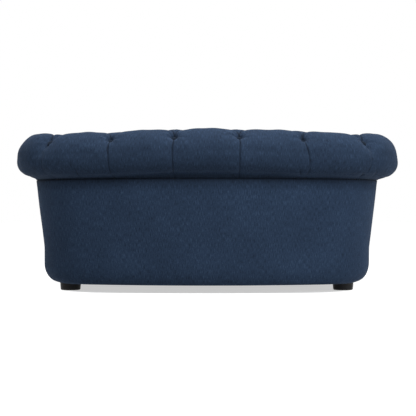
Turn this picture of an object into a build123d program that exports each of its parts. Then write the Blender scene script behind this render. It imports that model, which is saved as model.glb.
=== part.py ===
"""Tufted roll-back sofa bed for a small dog: a padded U-shaped wall on a plywood base, with a lift-out seat cushion.

Millimetres. +Z is up and the front faces -Y. The origin is on the floor, under the middle of the whole sofa.
"Out" is the distance outward from the wall line, the plan curve of the outside fabric near the floor.
"Station" is the distance round the wall from the middle of the back, positive towards +X, the right side.
"""

from build123d import *
import os
from math import asin, atan, cos, degrees, hypot, pi, radians, sin, sqrt

os.makedirs("parts", exist_ok=True)

# Overall plan and heights
base_width = 776.0
base_depth = 486.0
back_bow_radius = 900.0
corner_radius = 170.0
foot_height = 24.0
deck_top = 100.0
panel_top = 257.7

# Fits between neighbours, and how far a cut runs past what it cuts
clearance = 0.3
overrun = 40.0

# Outside cover and the boards of the wall
cover_thickness = 3.0
flap_thickness = 1.2
flap_reach = 62.0
edge_roll_radius = 26.0
edge_roll_drop = 7.5
edge_roll_inner_run = 3.0
flare_reach = 19.0
flare_start = 100.0
outer_board_thickness = 3.0
rib_depth = 27.4
inner_board_thickness = 3.0

# Roll and tufting
roll_out = 14.0
roll_height = 320.0
roll_fall = 6.5
roll_fall_end = 219.0
roll_radius_back = 50.0
roll_radius_arm = 53.0
roll_swell_start = 150.0
roll_swell_end = 430.0
top_rail_thickness = 12.0
top_rail_drop = 18.0
top_rail_outer_lap = 12.0
tufted_cover_thickness = 2.0
tuft_pitch = 139.0
corner_pleat_station = 352.0
tuft_depth = 9.0
tuft_puff = 1.0
pleat_depth = 6.0
upper_dip = 10.5
outer_button_angle = 50.0
inner_button_angle = -45.0
neck_angle = 170.0
pleat_angle = 112.0
neck_out = 16.5
low_button_height = 262.0
wall_face_out = -62.0
face_belly = 1.0
back_pad_bottom = 170.0
arm_bay_count = 3

# Buttons
button_radius = 7.5
button_height = 5.0
button_rim_height = 1.5
button_sink = 13.0
pocket_margin = 0.4

# Base, deck and rails
base_board_thickness = 12.0
base_board_setback = 18.0
deck_thickness = 9.0
deck_cloth_thickness = 1.2
rail_thickness = 18.0
bearer_width = 40.0
corner_block_size = 36.0

# Ribs inside the wall
rib_thickness = 15.0
rib_station_shares = (0.0, 0.25, 0.5, 0.76)
rib_slot_width = 12.0
rib_slot_length = 90.0
rib_slot_height = 165.0

# Arm fronts
arm_board_thickness = 12.0
arm_board_inset = 6.0
facing_thickness = 10.0
facing_edge_radius = 3.0
arm_corner_radius = 10.0
welt_radius = 3.0

# Upholstered front rail
front_cover_recess = 2.0
front_bottom_radius = 20.0
front_top_radius = 8.0
front_lap = 45.0
front_side_gap = 0.6

# Seat cushion
cushion_gap = 10.0
cushion_front_inset = 6.0
cushion_height = 84.0
cushion_crown = 14.0
cushion_front_corner = 34.0
cushion_waist = 3.0
cushion_hem_height = 7.0
cushion_hem_inset = 4.0
cushion_cover_thickness = 2.0
cushion_welt_radius = 2.5
crown_plan_shares = (1.0, 0.93, 0.78, 0.5)
crown_rise_shares = (0.0, 0.45, 0.82, 1.0)

# Zip in the rear side of the cushion
zip_half_angle = 15.5
zip_height = 42.0
zip_slot_height = 12.0
zip_tape_thickness = 1.0
coil_height = 5.0
coil_thickness = 2.2
stop_angle = 0.25
slider_angle = 0.75
slider_wall = 1.6
pull_length = 15.0
pull_width = 6.0
pull_thickness = 1.2
pull_hole_radius = 1.5
pin_radius = 0.8
pin_clearance = 0.1

# Feet
foot_top_radius = 25.0
foot_bottom_radius = 23.0
foot_edge_radius = 3.0
foot_side_setback = 67.0
foot_corner_setback = 55.0
foot_front_setback = 62.0
foot_counterbore_radius = 9.0
foot_counterbore_depth = 12.0
screw_radius = 2.4
screw_head_radius = 5.5
screw_head_height = 3.0
screw_length = 21.0

# Worked out from the sizes above
half_width = base_width / 2
front_reach = facing_thickness + clearance
back_reach = roll_out + roll_radius_back + tuft_puff / 2
back_y = (base_depth - back_reach + front_reach) / 2
front_y = back_y - base_depth
bow_centre_y = back_y - back_bow_radius
corner_x = half_width - corner_radius
corner_y = bow_centre_y + sqrt((back_bow_radius - corner_radius) ** 2 - corner_x**2)
bow_turn = asin(corner_x / (back_bow_radius - corner_radius))
bow_station = (back_bow_radius + roll_out) * bow_turn
side_station = bow_station + (corner_radius + roll_out) * (pi / 2 - bow_turn)
end_station = side_station + corner_y - front_y
arm_bay = (end_station - corner_pleat_station) / arm_bay_count

board_out = -(cover_thickness + clearance)
rib_out = board_out - outer_board_thickness - clearance
rib_in = rib_out - rib_depth
inner_board_out = rib_in - clearance
inner_board_in = inner_board_out - inner_board_thickness
pad_back_out = inner_board_in - clearance
flap_top = foot_height + flap_thickness
board_top = flap_top + base_board_thickness
deck_bottom = deck_top - deck_thickness
cloth_top = deck_top + deck_cloth_thickness
edge_roll_bottom = foot_height - edge_roll_drop
edge_roll_height = edge_roll_bottom + edge_roll_radius
edge_roll_spot = (-edge_roll_radius, edge_roll_height)
edge_roll_inner = -edge_roll_radius - edge_roll_inner_run
board_edge = clearance - base_board_setback
top_rail_top = roll_height - top_rail_drop
top_rail_bottom = top_rail_top - top_rail_thickness
top_rail_outer = roll_out + top_rail_outer_lap
rib_top = top_rail_bottom - clearance
rib_head_out = rib_out + roll_out
pad_start_height = panel_top + clearance
board_front = front_y + arm_board_thickness + clearance
arm_tuck_height = cloth_top + clearance


# Geometry shared by the pieces of the wall
def wall_plane(station):
    """Upright plane across the wall: its X is outward, its Y is up and its origin is on the wall line."""
    side = 1 if station >= 0 else -1
    run = abs(station)
    if run <= bow_station:
        turn = run / (back_bow_radius + roll_out)
        origin = (side * back_bow_radius * sin(turn), bow_centre_y + back_bow_radius * cos(turn))
    elif run <= side_station:
        turn = bow_turn + (run - bow_station) / (corner_radius + roll_out)
        origin = (side * (corner_x + corner_radius * sin(turn)), corner_y + corner_radius * cos(turn))
    else:
        turn = pi / 2
        origin = (side * half_width, corner_y - (run - side_station))
    outward = (side * sin(turn), cos(turn))
    return Plane(origin=(*origin, 0), x_dir=(*outward, 0), z_dir=(outward[1], -outward[0], 0))


def wall_line(out, front):
    """The plan curve at a distance out: left side, left corner, bowed back, right corner, right side."""
    bow = back_bow_radius + out
    corner = corner_radius + out
    width = half_width + out
    middle_turn = (bow_turn + pi / 2) / 2
    joint = (bow * sin(bow_turn), bow_centre_y + bow * cos(bow_turn))
    middle = (corner_x + corner * sin(middle_turn), corner_y + corner * cos(middle_turn))
    with BuildLine() as line:
        Line((-width, front), (-width, corner_y))
        ThreePointArc((-width, corner_y), (-middle[0], middle[1]), (-joint[0], joint[1]))
        ThreePointArc((-joint[0], joint[1]), (0, bow_centre_y + bow), joint)
        ThreePointArc(joint, middle, (width, corner_y))
        Line((width, corner_y), (width, front))
    return line


def plan_outline(out, front):
    """The plan curve, closed along the front."""
    with BuildLine() as outline:
        add(wall_line(out, front).line)
        Line((half_width + out, front), (-half_width - out, front))
    return outline.edges()


def start_plane(front):
    """Upright plane across the front end of the left side, where a profile starts its way round the wall."""
    return Plane(origin=(-half_width, front, 0), x_dir=(-1, 0, 0), z_dir=(0, 1, 0))


def polar(spot, radius, turn):
    return (spot[0] + radius * cos(radians(turn)), spot[1] + radius * sin(radians(turn)))


def save(part, label):
    part.label = label
    export_step(part, f"parts/{label}.step")


def save_pair(part, label):
    """Writes a right-hand piece and its mirror image."""
    save(mirror(part, about=Plane.YZ), f"left_{label}")
    save(part, f"right_{label}")


# Feet and their screws
foot_x = half_width - foot_side_setback
foot_swing = corner_radius - foot_corner_setback
foot_back_y = corner_y + sqrt(foot_swing**2 - (foot_x - corner_x) ** 2)
foot_front_y = front_y + foot_front_setback
foot_places = {
    "foot_back_right": (foot_x, foot_back_y),
    "foot_back_left": (-foot_x, foot_back_y),
    "foot_front_right": (foot_x, foot_front_y),
    "foot_front_left": (-foot_x, foot_front_y),
}
screw_places = [(*place, foot_height) for place in foot_places.values()]
screw_hole_radius = screw_radius + clearance

for label, place in foot_places.items():
    with BuildPart() as foot:
        with BuildSketch():
            with Locations(place):
                Circle(foot_bottom_radius)
        extrude(amount=foot_height, taper=-degrees(atan((foot_top_radius - foot_bottom_radius) / foot_height)))
        fillet(foot.edges().sort_by(Axis.Z)[0], foot_edge_radius)
        with Locations((*place, foot_height / 2)):
            Cylinder(screw_hole_radius, 2 * foot_height, mode=Mode.SUBTRACT)
        with Locations((*place, 0)):
            Cylinder(foot_counterbore_radius, 2 * foot_counterbore_depth, mode=Mode.SUBTRACT)
    save(foot.part, label)

with BuildPart() as foot_screws:
    with BuildSketch(Plane.XY.offset(foot_counterbore_depth - screw_head_height)):
        with Locations(*foot_places.values()):
            Circle(screw_head_radius)
    extrude(amount=screw_head_height)
    with BuildSketch(Plane.XY.offset(foot_counterbore_depth)):
        with Locations(*foot_places.values()):
            Circle(screw_radius)
    extrude(amount=screw_length)
    chamfer(foot_screws.edges().group_by(Axis.Z)[-1], screw_radius / 2)
save(foot_screws.part, "foot_screws")

# Base board, dust cover and the cover of the outside
with BuildPart() as base_board:
    with BuildSketch(Plane.XY.offset(flap_top)):
        make_face(plan_outline(-base_board_setback, board_front))
        with Locations(*foot_places.values()):
            Circle(screw_hole_radius, mode=Mode.SUBTRACT)
    extrude(amount=base_board_thickness)
save(base_board.part, "base_board")

with BuildPart() as dust_cover:
    with BuildSketch(Plane.XY.offset(foot_height)):
        make_face(plan_outline(-flap_reach - clearance, front_y + flap_reach + clearance))
        with Locations(*foot_places.values()):
            Circle(screw_hole_radius, mode=Mode.SUBTRACT)
    extrude(amount=flap_thickness)
save(dust_cover.part, "dust_cover")

cover_roll_radius = edge_roll_radius - cover_thickness
with BuildPart() as outside_cover:
    with BuildSketch(start_plane(front_y)):
        with BuildLine():
            Polyline((flare_reach, panel_top), (0, flare_start), polar(edge_roll_spot, edge_roll_radius, 0))
            CenterArc(edge_roll_spot, edge_roll_radius, 0, -90)
            Polyline(
                polar(edge_roll_spot, edge_roll_radius, -90),
                (edge_roll_inner, foot_height),
                (-flap_reach, foot_height),
                (-flap_reach, flap_top),
                (edge_roll_inner, flap_top),
                polar(edge_roll_spot, cover_roll_radius, -90),
            )
            CenterArc(edge_roll_spot, cover_roll_radius, 0, -90)
            Polyline(
                polar(edge_roll_spot, cover_roll_radius, 0),
                (-cover_thickness, flare_start),
                (flare_reach - cover_thickness, panel_top),
                (flare_reach, panel_top),
            )
        make_face()
    sweep(path=wall_line(0, front_y).wire())
    with Locations(*screw_places):
        Cylinder(screw_hole_radius, 2 * base_board_thickness, mode=Mode.SUBTRACT)
save(outside_cover.part, "outside_cover")

padding_roll_radius = cover_roll_radius - clearance
padding_bottom = flap_top - clearance
with BuildPart() as edge_roll_padding:
    with BuildSketch(start_plane(board_front)):
        with BuildLine():
            CenterArc(edge_roll_spot, padding_roll_radius, 0, -90)
            Polyline(
                polar(edge_roll_spot, padding_roll_radius, -90),
                (edge_roll_inner + 2 * clearance, padding_bottom),
                (board_edge, padding_bottom),
                (board_edge, edge_roll_height),
                polar(edge_roll_spot, padding_roll_radius, 0),
            )
        make_face()
    sweep(path=wall_line(0, board_front).wire())
save(edge_roll_padding.part, "edge_roll_padding")

# Boards and ribs inside the wall
with BuildPart() as outer_board:
    with BuildSketch(start_plane(board_front)):
        with BuildLine():
            Polyline(
                (board_out, edge_roll_height + clearance),
                (board_out, flare_start),
                (board_out + flare_reach, panel_top),
                (board_out + flare_reach - outer_board_thickness, panel_top),
                (board_out - outer_board_thickness, flare_start),
                (board_out - outer_board_thickness, edge_roll_height + clearance),
                close=True,
            )
        make_face()
    sweep(path=wall_line(0, board_front).wire())
save(outer_board.part, "outer_board")

with BuildPart() as inner_board:
    with BuildSketch(Plane.XY.offset(deck_bottom)):
        make_face(plan_outline(inner_board_out, board_front))
        make_face(plan_outline(inner_board_in, board_front - overrun), mode=Mode.SUBTRACT)
    extrude(amount=rib_top - deck_bottom)
save(inner_board.part, "inner_board")

with BuildPart() as top_rail:
    with BuildSketch(Plane.XY.offset(top_rail_bottom)):
        make_face(plan_outline(top_rail_outer, board_front))
        make_face(plan_outline(rib_in, board_front - overrun), mode=Mode.SUBTRACT)
    extrude(amount=top_rail_thickness)
save(top_rail.part, "top_rail")

rib_places = sorted({side * share * end_station for share in rib_station_shares for side in (1, -1)})
with BuildPart() as wall_ribs:
    for station in rib_places:
        with BuildSketch(wall_plane(station)):
            with BuildLine():
                Polyline(
                    (rib_in, board_top + clearance),
                    (-base_board_setback - clearance, board_top + clearance),
                    (-base_board_setback - clearance, edge_roll_height + clearance),
                    (rib_out, edge_roll_height + clearance),
                    (rib_out, flare_start),
                    (rib_out + flare_reach, panel_top),
                    (rib_out + flare_reach, pad_start_height),
                    (rib_head_out, pad_start_height),
                    (rib_head_out, rib_top),
                    (rib_in, rib_top),
                    close=True,
                )
            make_face()
            with Locations(((rib_in + rib_out) / 2, rib_slot_height)):
                SlotOverall(rib_slot_length, rib_slot_width, rotation=90, mode=Mode.SUBTRACT)
        extrude(amount=rib_thickness / 2, both=True)
save(wall_ribs.part, "wall_ribs")

# Deck rails, corner blocks and seat deck
rail_out = inner_board_in - clearance
rail_in = rail_out - rail_thickness
rail_bottom = board_top + clearance
rail_height = deck_bottom - clearance - rail_bottom
side_rail_front = board_front + rail_thickness + clearance
side_rail_x = half_width + rail_in

with BuildPart() as back_deck_rail:
    with BuildSketch(Plane.XY.offset(rail_bottom)):
        make_face(plan_outline(rail_out, front_y))
        make_face(plan_outline(rail_in, front_y), mode=Mode.SUBTRACT)
        with Locations((0, corner_y)):
            Rectangle(base_width, base_depth, align=(Align.CENTER, Align.MAX), mode=Mode.SUBTRACT)
    extrude(amount=rail_height)
save(back_deck_rail.part, "back_deck_rail")

with BuildPart() as side_deck_rail:
    with BuildSketch(Plane.XY.offset(rail_bottom)):
        with Locations((side_rail_x, side_rail_front)):
            Rectangle(rail_thickness, corner_y - clearance - side_rail_front, align=Align.MIN)
    extrude(amount=rail_height)
save_pair(side_deck_rail.part, "deck_rail")

with BuildPart() as front_rail:
    with BuildSketch(Plane.XY.offset(rail_bottom)):
        with Locations((0, board_front)):
            Rectangle(2 * (half_width + rail_out), rail_thickness, align=(Align.CENTER, Align.MIN))
    extrude(amount=rail_height)
save(front_rail.part, "front_rail")

bearer_length = back_y + rail_in - clearance - side_rail_front
with BuildPart() as centre_bearer:
    with BuildSketch(Plane.XY.offset(rail_bottom)):
        with Locations((0, side_rail_front)):
            Rectangle(bearer_width, bearer_length, align=(Align.CENTER, Align.MIN))
    extrude(amount=rail_height)
save(centre_bearer.part, "centre_bearer")

block_x = side_rail_x - clearance
with BuildPart() as corner_blocks:
    with BuildSketch(Plane.XY.offset(rail_bottom)):
        for side in (1, -1):
            with BuildLine():
                Polyline(
                    (side * block_x, side_rail_front),
                    (side * (block_x - corner_block_size), side_rail_front),
                    (side * block_x, side_rail_front + corner_block_size),
                    close=True,
                )
            make_face()
    extrude(amount=rail_height)
save(corner_blocks.part, "corner_blocks")

with BuildPart() as seat_deck:
    with BuildSketch(Plane.XY.offset(deck_bottom)):
        make_face(plan_outline(inner_board_in - clearance, board_front))
    extrude(amount=deck_thickness)
save(seat_deck.part, "seat_deck")

with BuildPart() as deck_cloth:
    with BuildSketch(Plane.XY.offset(deck_top)):
        make_face(plan_outline(inner_board_in - clearance, front_y + front_lap + clearance))
    extrude(amount=deck_cloth_thickness)
save(deck_cloth.part, "deck_cloth")

# Upholstered front rail between the arms
front_half = half_width + wall_face_out - front_side_gap
front_face = front_y + front_cover_recess
front_inside = front_face + cover_thickness
front_roll_spot = (front_face + front_bottom_radius, edge_roll_bottom + front_bottom_radius)
front_roll_inner = front_roll_spot[0] + edge_roll_inner_run
front_top_spot = (front_face + front_top_radius, cloth_top - front_top_radius)
front_plane = Plane(origin=(-front_half, 0, 0), x_dir=(0, 1, 0), z_dir=(1, 0, 0))

with BuildPart() as front_cover:
    with BuildSketch(front_plane):
        with BuildLine():
            CenterArc(front_top_spot, front_top_radius, 90, 90)
            Line(polar(front_top_spot, front_top_radius, 180), polar(front_roll_spot, front_bottom_radius, 180))
            CenterArc(front_roll_spot, front_bottom_radius, 180, 90)
            Polyline(
                polar(front_roll_spot, front_bottom_radius, 270),
                (front_roll_inner, foot_height),
                (front_y + flap_reach, foot_height),
                (front_y + flap_reach, flap_top),
                (front_roll_inner, flap_top),
                polar(front_roll_spot, front_bottom_radius - cover_thickness, 270),
            )
            CenterArc(front_roll_spot, front_bottom_radius - cover_thickness, 180, 90)
            Polyline(
                polar(front_roll_spot, front_bottom_radius - cover_thickness, 180),
                (front_inside, front_top_spot[1]),
                (front_top_spot[0], deck_top),
                (front_y + front_lap, deck_top),
                (front_y + front_lap, cloth_top),
                polar(front_top_spot, front_top_radius, 90),
            )
        make_face()
    extrude(amount=2 * front_half)
    with Locations(*screw_places):
        Cylinder(screw_hole_radius, 2 * base_board_thickness, mode=Mode.SUBTRACT)
save(front_cover.part, "front_cover")

front_padding_radius = front_bottom_radius - cover_thickness - clearance
with BuildPart() as front_padding:
    with BuildSketch(front_plane):
        with BuildLine():
            CenterArc(front_roll_spot, front_padding_radius, 180, 90)
            Polyline(
                polar(front_roll_spot, front_padding_radius, 270),
                (front_roll_inner - 2 * clearance, padding_bottom),
                (board_front - clearance, padding_bottom),
                (board_front - clearance, front_top_spot[1]),
                (front_inside + clearance, front_top_spot[1]),
                polar(front_roll_spot, front_padding_radius, 180),
            )
        make_face()
    extrude(amount=2 * front_half)
save(front_padding.part, "front_padding")


# Tufted upholstery of the roll and of the inside
def roll_radius(station):
    """The roll is slimmer across the back than round the corners and along the arms."""
    share = (abs(station) - roll_swell_start) / (roll_swell_end - roll_swell_start)
    return roll_radius_back + (roll_radius_arm - roll_radius_back) * min(1, max(0, share))


def roll_middle(station):
    """Height of the roll's middle: the back is highest at its centre, and falls towards the corners."""
    return roll_height - roll_fall * min(1, abs(station) / roll_fall_end) ** 2


def roll_point(station, turn, lift):
    """Point on the roll's section, with its turn in degrees from the top towards the outside."""
    reach = roll_radius(station) + lift
    return (roll_out + reach * sin(radians(turn)), roll_middle(station) + reach * cos(radians(turn)))


def bulged(start, end, bulge):
    """Middle of two points, moved off their line by the bulge, to the right of the way from start to end."""
    run = hypot(end[0] - start[0], end[1] - start[1])
    across = ((end[1] - start[1]) / run, -(end[0] - start[0]) / run)
    return ((start[0] + end[0]) / 2 + bulge * across[0], (start[1] + end[1]) / 2 + bulge * across[1])


# How far a section stands proud at its outer pleat, outer button, inner button and low button
section_lifts = {
    "pleat": (-pleat_depth, -tuft_depth, tuft_puff, -tuft_depth),
    "swell": (tuft_puff, tuft_puff, -tuft_depth, tuft_puff),
    "plain": (0.0, tuft_puff / 2, 0.0, 0.0),
}


def pad_line(station, kind, inset, bottom):
    """Shown side of the upholstery's section, from its neck under the roll, over the top, down to the bottom."""
    side, outer, inner, low = [lift - inset for lift in section_lifts[kind]]
    start = (neck_out - inset, pad_start_height)
    neck = roll_point(station, neck_angle, (side - inset) / 2)
    beside = roll_point(station, pleat_angle, side)
    outer_button = roll_point(station, outer_button_angle, outer)
    inner_button = roll_point(station, inner_button_angle, inner)
    low_button = (wall_face_out - low, low_button_height)
    tuck = (wall_face_out + inset, bottom)
    below = roll_point(station, (neck_angle + pleat_angle) / 2, side)
    between = roll_point(station, (pleat_angle + outer_button_angle) / 2, side / 2 - inset / 2)
    above = roll_point(station, (outer_button_angle + inner_button_angle) / 2, -inset)
    with BuildLine() as line:
        Line(start, neck)
        ThreePointArc(neck, below, beside)
        ThreePointArc(beside, between, outer_button)
        ThreePointArc(outer_button, above, inner_button)
        ThreePointArc(inner_button, bulged(inner_button, low_button, upper_dip), low_button)
        ThreePointArc(low_button, bulged(low_button, tuck, face_belly), tuck)
    return line


def pad_section(station, kind, inset, bottom):
    """Whole section of the upholstery, filled in past the wall's boards."""
    with BuildSketch(wall_plane(station)) as section:
        with BuildLine():
            add(pad_line(station, kind, inset, bottom).line)
            Polyline(
                (wall_face_out + inset, bottom),
                (rib_in + inset, bottom),
                (rib_in + inset, panel_top - overrun + inset),
                (roll_out / 2 - inset, panel_top - overrun + inset),
                (neck_out - inset, pad_start_height),
            )
        make_face()
    return section.sketch


def pad_bays(stations, end_kind, inset, bottom):
    """Sections of each bay: a pleat, the swell between, and the next pleat or the plain end."""
    for first, last in zip(stations, stations[1:]):
        kind = end_kind if last == stations[-1] else "pleat"
        yield [
            pad_section(first, "pleat", inset, bottom),
            pad_section((first + last) / 2, "swell", inset, bottom),
            pad_section(last, kind, inset, bottom),
        ]


back_stations = [
    -corner_pleat_station,
    -1.5 * tuft_pitch,
    -0.5 * tuft_pitch,
    0.5 * tuft_pitch,
    1.5 * tuft_pitch,
    corner_pleat_station,
]
arm_stations = [corner_pleat_station + bay * arm_bay for bay in range(arm_bay_count + 1)]
foam_inset = tufted_cover_thickness + clearance

# The room of the boards, ribs and top rail, which the upholstery is cut to
with BuildPart() as wall_core:
    with BuildSketch(start_plane(front_y - overrun)):
        with BuildLine():
            Polyline(
                (pad_back_out, deck_bottom - overrun),
                (pad_back_out, top_rail_top + clearance),
                (top_rail_outer + clearance, top_rail_top + clearance),
                (top_rail_outer + clearance, top_rail_bottom - clearance),
                (rib_head_out + clearance, top_rail_bottom - clearance),
                (rib_head_out + clearance, pad_start_height),
                (flare_reach + overrun, pad_start_height),
                (flare_reach + overrun, deck_bottom - overrun),
                close=True,
            )
        make_face()
    sweep(path=wall_line(0, front_y - overrun).wire())


# Buttons, one at each corner of the tufting's diamonds
def middles(stations):
    return [(first + last) / 2 for first, last in zip(stations, stations[1:])]


def button_seat(station, spot, heading):
    """Plane of a button's seat at a spot of the section, with its heading in degrees from outward towards up."""
    across = wall_plane(station)
    facing = across.x_dir * cos(radians(heading)) + across.y_dir * sin(radians(heading))
    return Plane(origin=across.from_local_coords((*spot, 0)), x_dir=across.z_dir, z_dir=facing)


def roll_seats(stations, turn):
    return [button_seat(place, roll_point(place, turn, -button_sink), 90 - turn) for place in stations]


low_spot = (wall_face_out + button_sink, low_button_height)
arm_pleats = [side * station for side in (1, -1) for station in arm_stations[1:-1]]
arm_swells = [side * station for side in (1, -1) for station in middles(arm_stations)]
pleat_places = back_stations + arm_pleats
swell_places = middles(back_stations) + arm_swells
button_rows = {
    "outer_roll_buttons": roll_seats(pleat_places, outer_button_angle),
    "inner_roll_buttons": roll_seats(swell_places, inner_button_angle),
    "wall_buttons": [button_seat(place, low_spot, 180) for place in pleat_places],
}
button_seats = [seat for seats in button_rows.values() for seat in seats]
pocket_radius = button_radius + pocket_margin
upright_middle = (Align.CENTER, Align.CENTER, Align.MIN)
board_room = (Align.MIN, Align.MAX, Align.CENTER)

with BuildPart() as button:
    with BuildSketch(Plane.XZ):
        with BuildLine():
            Polyline((0, button_height), (0, clearance), (button_radius, clearance), (button_radius, button_rim_height))
            TangentArc((0, button_height), (button_radius, button_rim_height), tangent=(1, 0))
        make_face()
    revolve(axis=Axis.Z)

for label, seats in button_rows.items():
    with BuildPart() as buttons:
        with Locations(*seats):
            add(button.part)
    save(buttons.part, label)

# Tufted covers and their foam, with a pocket for each button
with BuildPart() as back_tufted_cover:
    for bay in pad_bays(back_stations, "pleat", 0, back_pad_bottom):
        loft(bay)
    for bay in pad_bays(back_stations, "pleat", tufted_cover_thickness, back_pad_bottom + tufted_cover_thickness):
        loft(bay, mode=Mode.SUBTRACT)
    add(wall_core.part, mode=Mode.SUBTRACT)
    with Locations(*button_seats):
        Cylinder(pocket_radius, button_sink + tuft_depth, align=upright_middle, mode=Mode.SUBTRACT)
save(back_tufted_cover.part, "back_tufted_cover")

with BuildPart() as back_foam:
    for bay in pad_bays(back_stations, "pleat", foam_inset, back_pad_bottom + foam_inset):
        loft(bay)
    add(wall_core.part, mode=Mode.SUBTRACT)
    with Locations(*button_seats):
        Cylinder(pocket_radius, button_sink + tuft_depth, align=upright_middle, mode=Mode.SUBTRACT)
save(back_foam.part, "back_foam")

with BuildPart() as arm_tufted_cover:
    for bay in pad_bays(arm_stations, "plain", 0, arm_tuck_height):
        loft(bay)
    for bay in pad_bays(arm_stations, "plain", tufted_cover_thickness, arm_tuck_height + tufted_cover_thickness):
        loft(bay, mode=Mode.SUBTRACT)
    add(wall_core.part, mode=Mode.SUBTRACT)
    with Locations(*button_seats):
        Cylinder(pocket_radius, button_sink + tuft_depth, align=upright_middle, mode=Mode.SUBTRACT)
    with Locations((half_width + wall_face_out + tufted_cover_thickness, board_front, arm_tuck_height)):
        Box(base_width, overrun, 2 * tufted_cover_thickness, align=board_room, mode=Mode.SUBTRACT)
save_pair(arm_tufted_cover.part, "arm_tufted_cover")

with BuildPart() as arm_foam:
    for bay in pad_bays(arm_stations, "plain", foam_inset, arm_tuck_height + foam_inset):
        loft(bay)
    add(wall_core.part, mode=Mode.SUBTRACT)
    with Locations(*button_seats):
        Cylinder(pocket_radius, button_sink + tuft_depth, align=upright_middle, mode=Mode.SUBTRACT)
    with Locations((half_width, board_front, roll_height)):
        Box(base_width, overrun, base_width, align=(Align.CENTER, Align.MAX, Align.CENTER), mode=Mode.SUBTRACT)
save_pair(arm_foam.part, "arm_foam")

# Cloth that closes the wall behind the cushion, under the back's upholstery
with BuildPart() as pull_down_cloth:
    with BuildSketch(Plane.XY.offset(arm_tuck_height)):
        make_face(plan_outline(pad_back_out, front_y))
        make_face(plan_outline(pad_back_out - flap_thickness, front_y - overrun), mode=Mode.SUBTRACT)
    extrude(amount=back_pad_bottom - clearance - arm_tuck_height)
    split(bisect_by=wall_plane(corner_pleat_station), keep=Keep.BOTTOM)
    split(bisect_by=wall_plane(-corner_pleat_station), keep=Keep.TOP)
save(pull_down_cloth.part, "pull_down_cloth")


# Arm fronts: board, padded facing and welt
roll_spot = (roll_out, roll_middle(end_station))
neck_heading = 90 - neck_angle
blend_heading = 90 - inner_button_angle
blend_start = polar(roll_spot, roll_radius_arm, blend_heading)
blend_radius = (blend_start[0] - wall_face_out) / (1 + cos(radians(blend_heading)))
blend_spot = polar(blend_start, -blend_radius, blend_heading)


def arm_front(inset):
    """Front of the right arm, drawn in by an inset: roll, blend into the inside, bottom, edge roll and outside."""
    flare = (0, flare_start)
    start = (neck_out, pad_start_height)
    neck = polar(roll_spot, roll_radius_arm, neck_heading)
    low_corner = (wall_face_out, edge_roll_bottom)
    with BuildSketch() as front:
        with BuildLine():
            CenterArc(roll_spot, roll_radius_arm, neck_heading, blend_heading - neck_heading)
            CenterArc(blend_spot, blend_radius, blend_heading, 180 - blend_heading)
            Polyline(polar(blend_spot, blend_radius, 180), low_corner, polar(edge_roll_spot, edge_roll_radius, -90))
            CenterArc(edge_roll_spot, edge_roll_radius, 0, -90)
            Polyline(polar(edge_roll_spot, edge_roll_radius, 0), flare, start, neck)
        make_face()
        corners = [front.vertices().sort_by_distance((*spot, 0))[0] for spot in (flare, start, neck, low_corner)]
        fillet(corners, arm_corner_radius)
        offset(amount=-inset)
    return front.sketch


arm_end = wall_plane(end_station)
with BuildPart() as arm_board:
    with BuildSketch(arm_end):
        add(arm_front(arm_board_inset))
        with Locations((wall_face_out, flap_top)):
            Rectangle(base_width, overrun, align=(Align.CENTER, Align.MAX), mode=Mode.SUBTRACT)
    extrude(amount=-arm_board_thickness)
save_pair(arm_board.part, "arm_board")

with BuildPart() as arm_facing:
    with BuildSketch(arm_end.offset(clearance)):
        add(arm_front(2 * welt_radius + clearance))
    extrude(amount=facing_thickness)
    fillet(arm_facing.faces().sort_by(Axis.Y)[0].edges(), facing_edge_radius)
save_pair(arm_facing.part, "arm_facing")

welt_path = arm_end.offset(welt_radius + clearance) * arm_front(welt_radius)
welt_wire = welt_path.face().outer_wire()
with BuildPart() as arm_welt:
    with BuildSketch(Plane(origin=welt_wire @ 0, z_dir=welt_wire % 0)):
        Circle(welt_radius)
    sweep(path=welt_wire)
save_pair(arm_welt.part, "arm_welt")

# Seat cushion: foam core, sewn cover and welts
cushion_out = wall_face_out - cushion_gap
cushion_front = front_y + cushion_front_inset
cushion_back = back_y + cushion_out
cushion_middle = (0, (cushion_front + cushion_back) / 2, 0)
cushion_bottom = cloth_top + clearance
cushion_hem = cushion_bottom + cushion_hem_height
cushion_seam = cushion_bottom + cushion_height


def cushion_section(height, inset, share=1):
    """Plan section of the cushion, drawn in by an inset, then shrunk about the cushion's middle to a share."""
    corner = cushion_front_corner - inset
    front = cushion_front + inset
    side = half_width + cushion_out - inset
    with BuildSketch(Plane.XY.offset(height)) as section:
        with BuildLine():
            add(wall_line(cushion_out - inset, front + corner).line)
            CenterArc((side - corner, front + corner), corner, 0, -90)
            Line((side - corner, front), (corner - side, front))
            CenterArc((corner - side, front + corner), corner, 180, 90)
        make_face()
        scale(by=share, about=cushion_middle)
    return section.sketch


def cushion_lofts(inset):
    """Sections of the hem, of the drawn-in side and of the crown, each set for a loft of its own."""
    low, high = cushion_bottom + inset, cushion_seam - inset
    yield [cushion_section(low, cushion_hem_inset + inset), cushion_section(cushion_hem, inset)]
    yield [
        cushion_section(cushion_hem, inset),
        cushion_section((cushion_hem + high) / 2, cushion_waist + inset),
        cushion_section(high, inset),
    ]
    crown = zip(crown_plan_shares, crown_rise_shares)
    yield [cushion_section(high + cushion_crown * rise, inset, share) for share, rise in crown]


def bow_plane(turn):
    """Upright plane through the axis of the bowed back, turned from +Y towards the right side."""
    facing = (sin(radians(turn)), cos(radians(turn)))
    return Plane(origin=(0, bow_centre_y, 0), x_dir=(*facing, 0), z_dir=(facing[1], -facing[0], 0))


bow_axis = Axis((0, bow_centre_y, 0), (0, 0, 1))
boxing_radius = back_bow_radius + cushion_out - cushion_waist
zip_middle_height = cushion_bottom + zip_height

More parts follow.
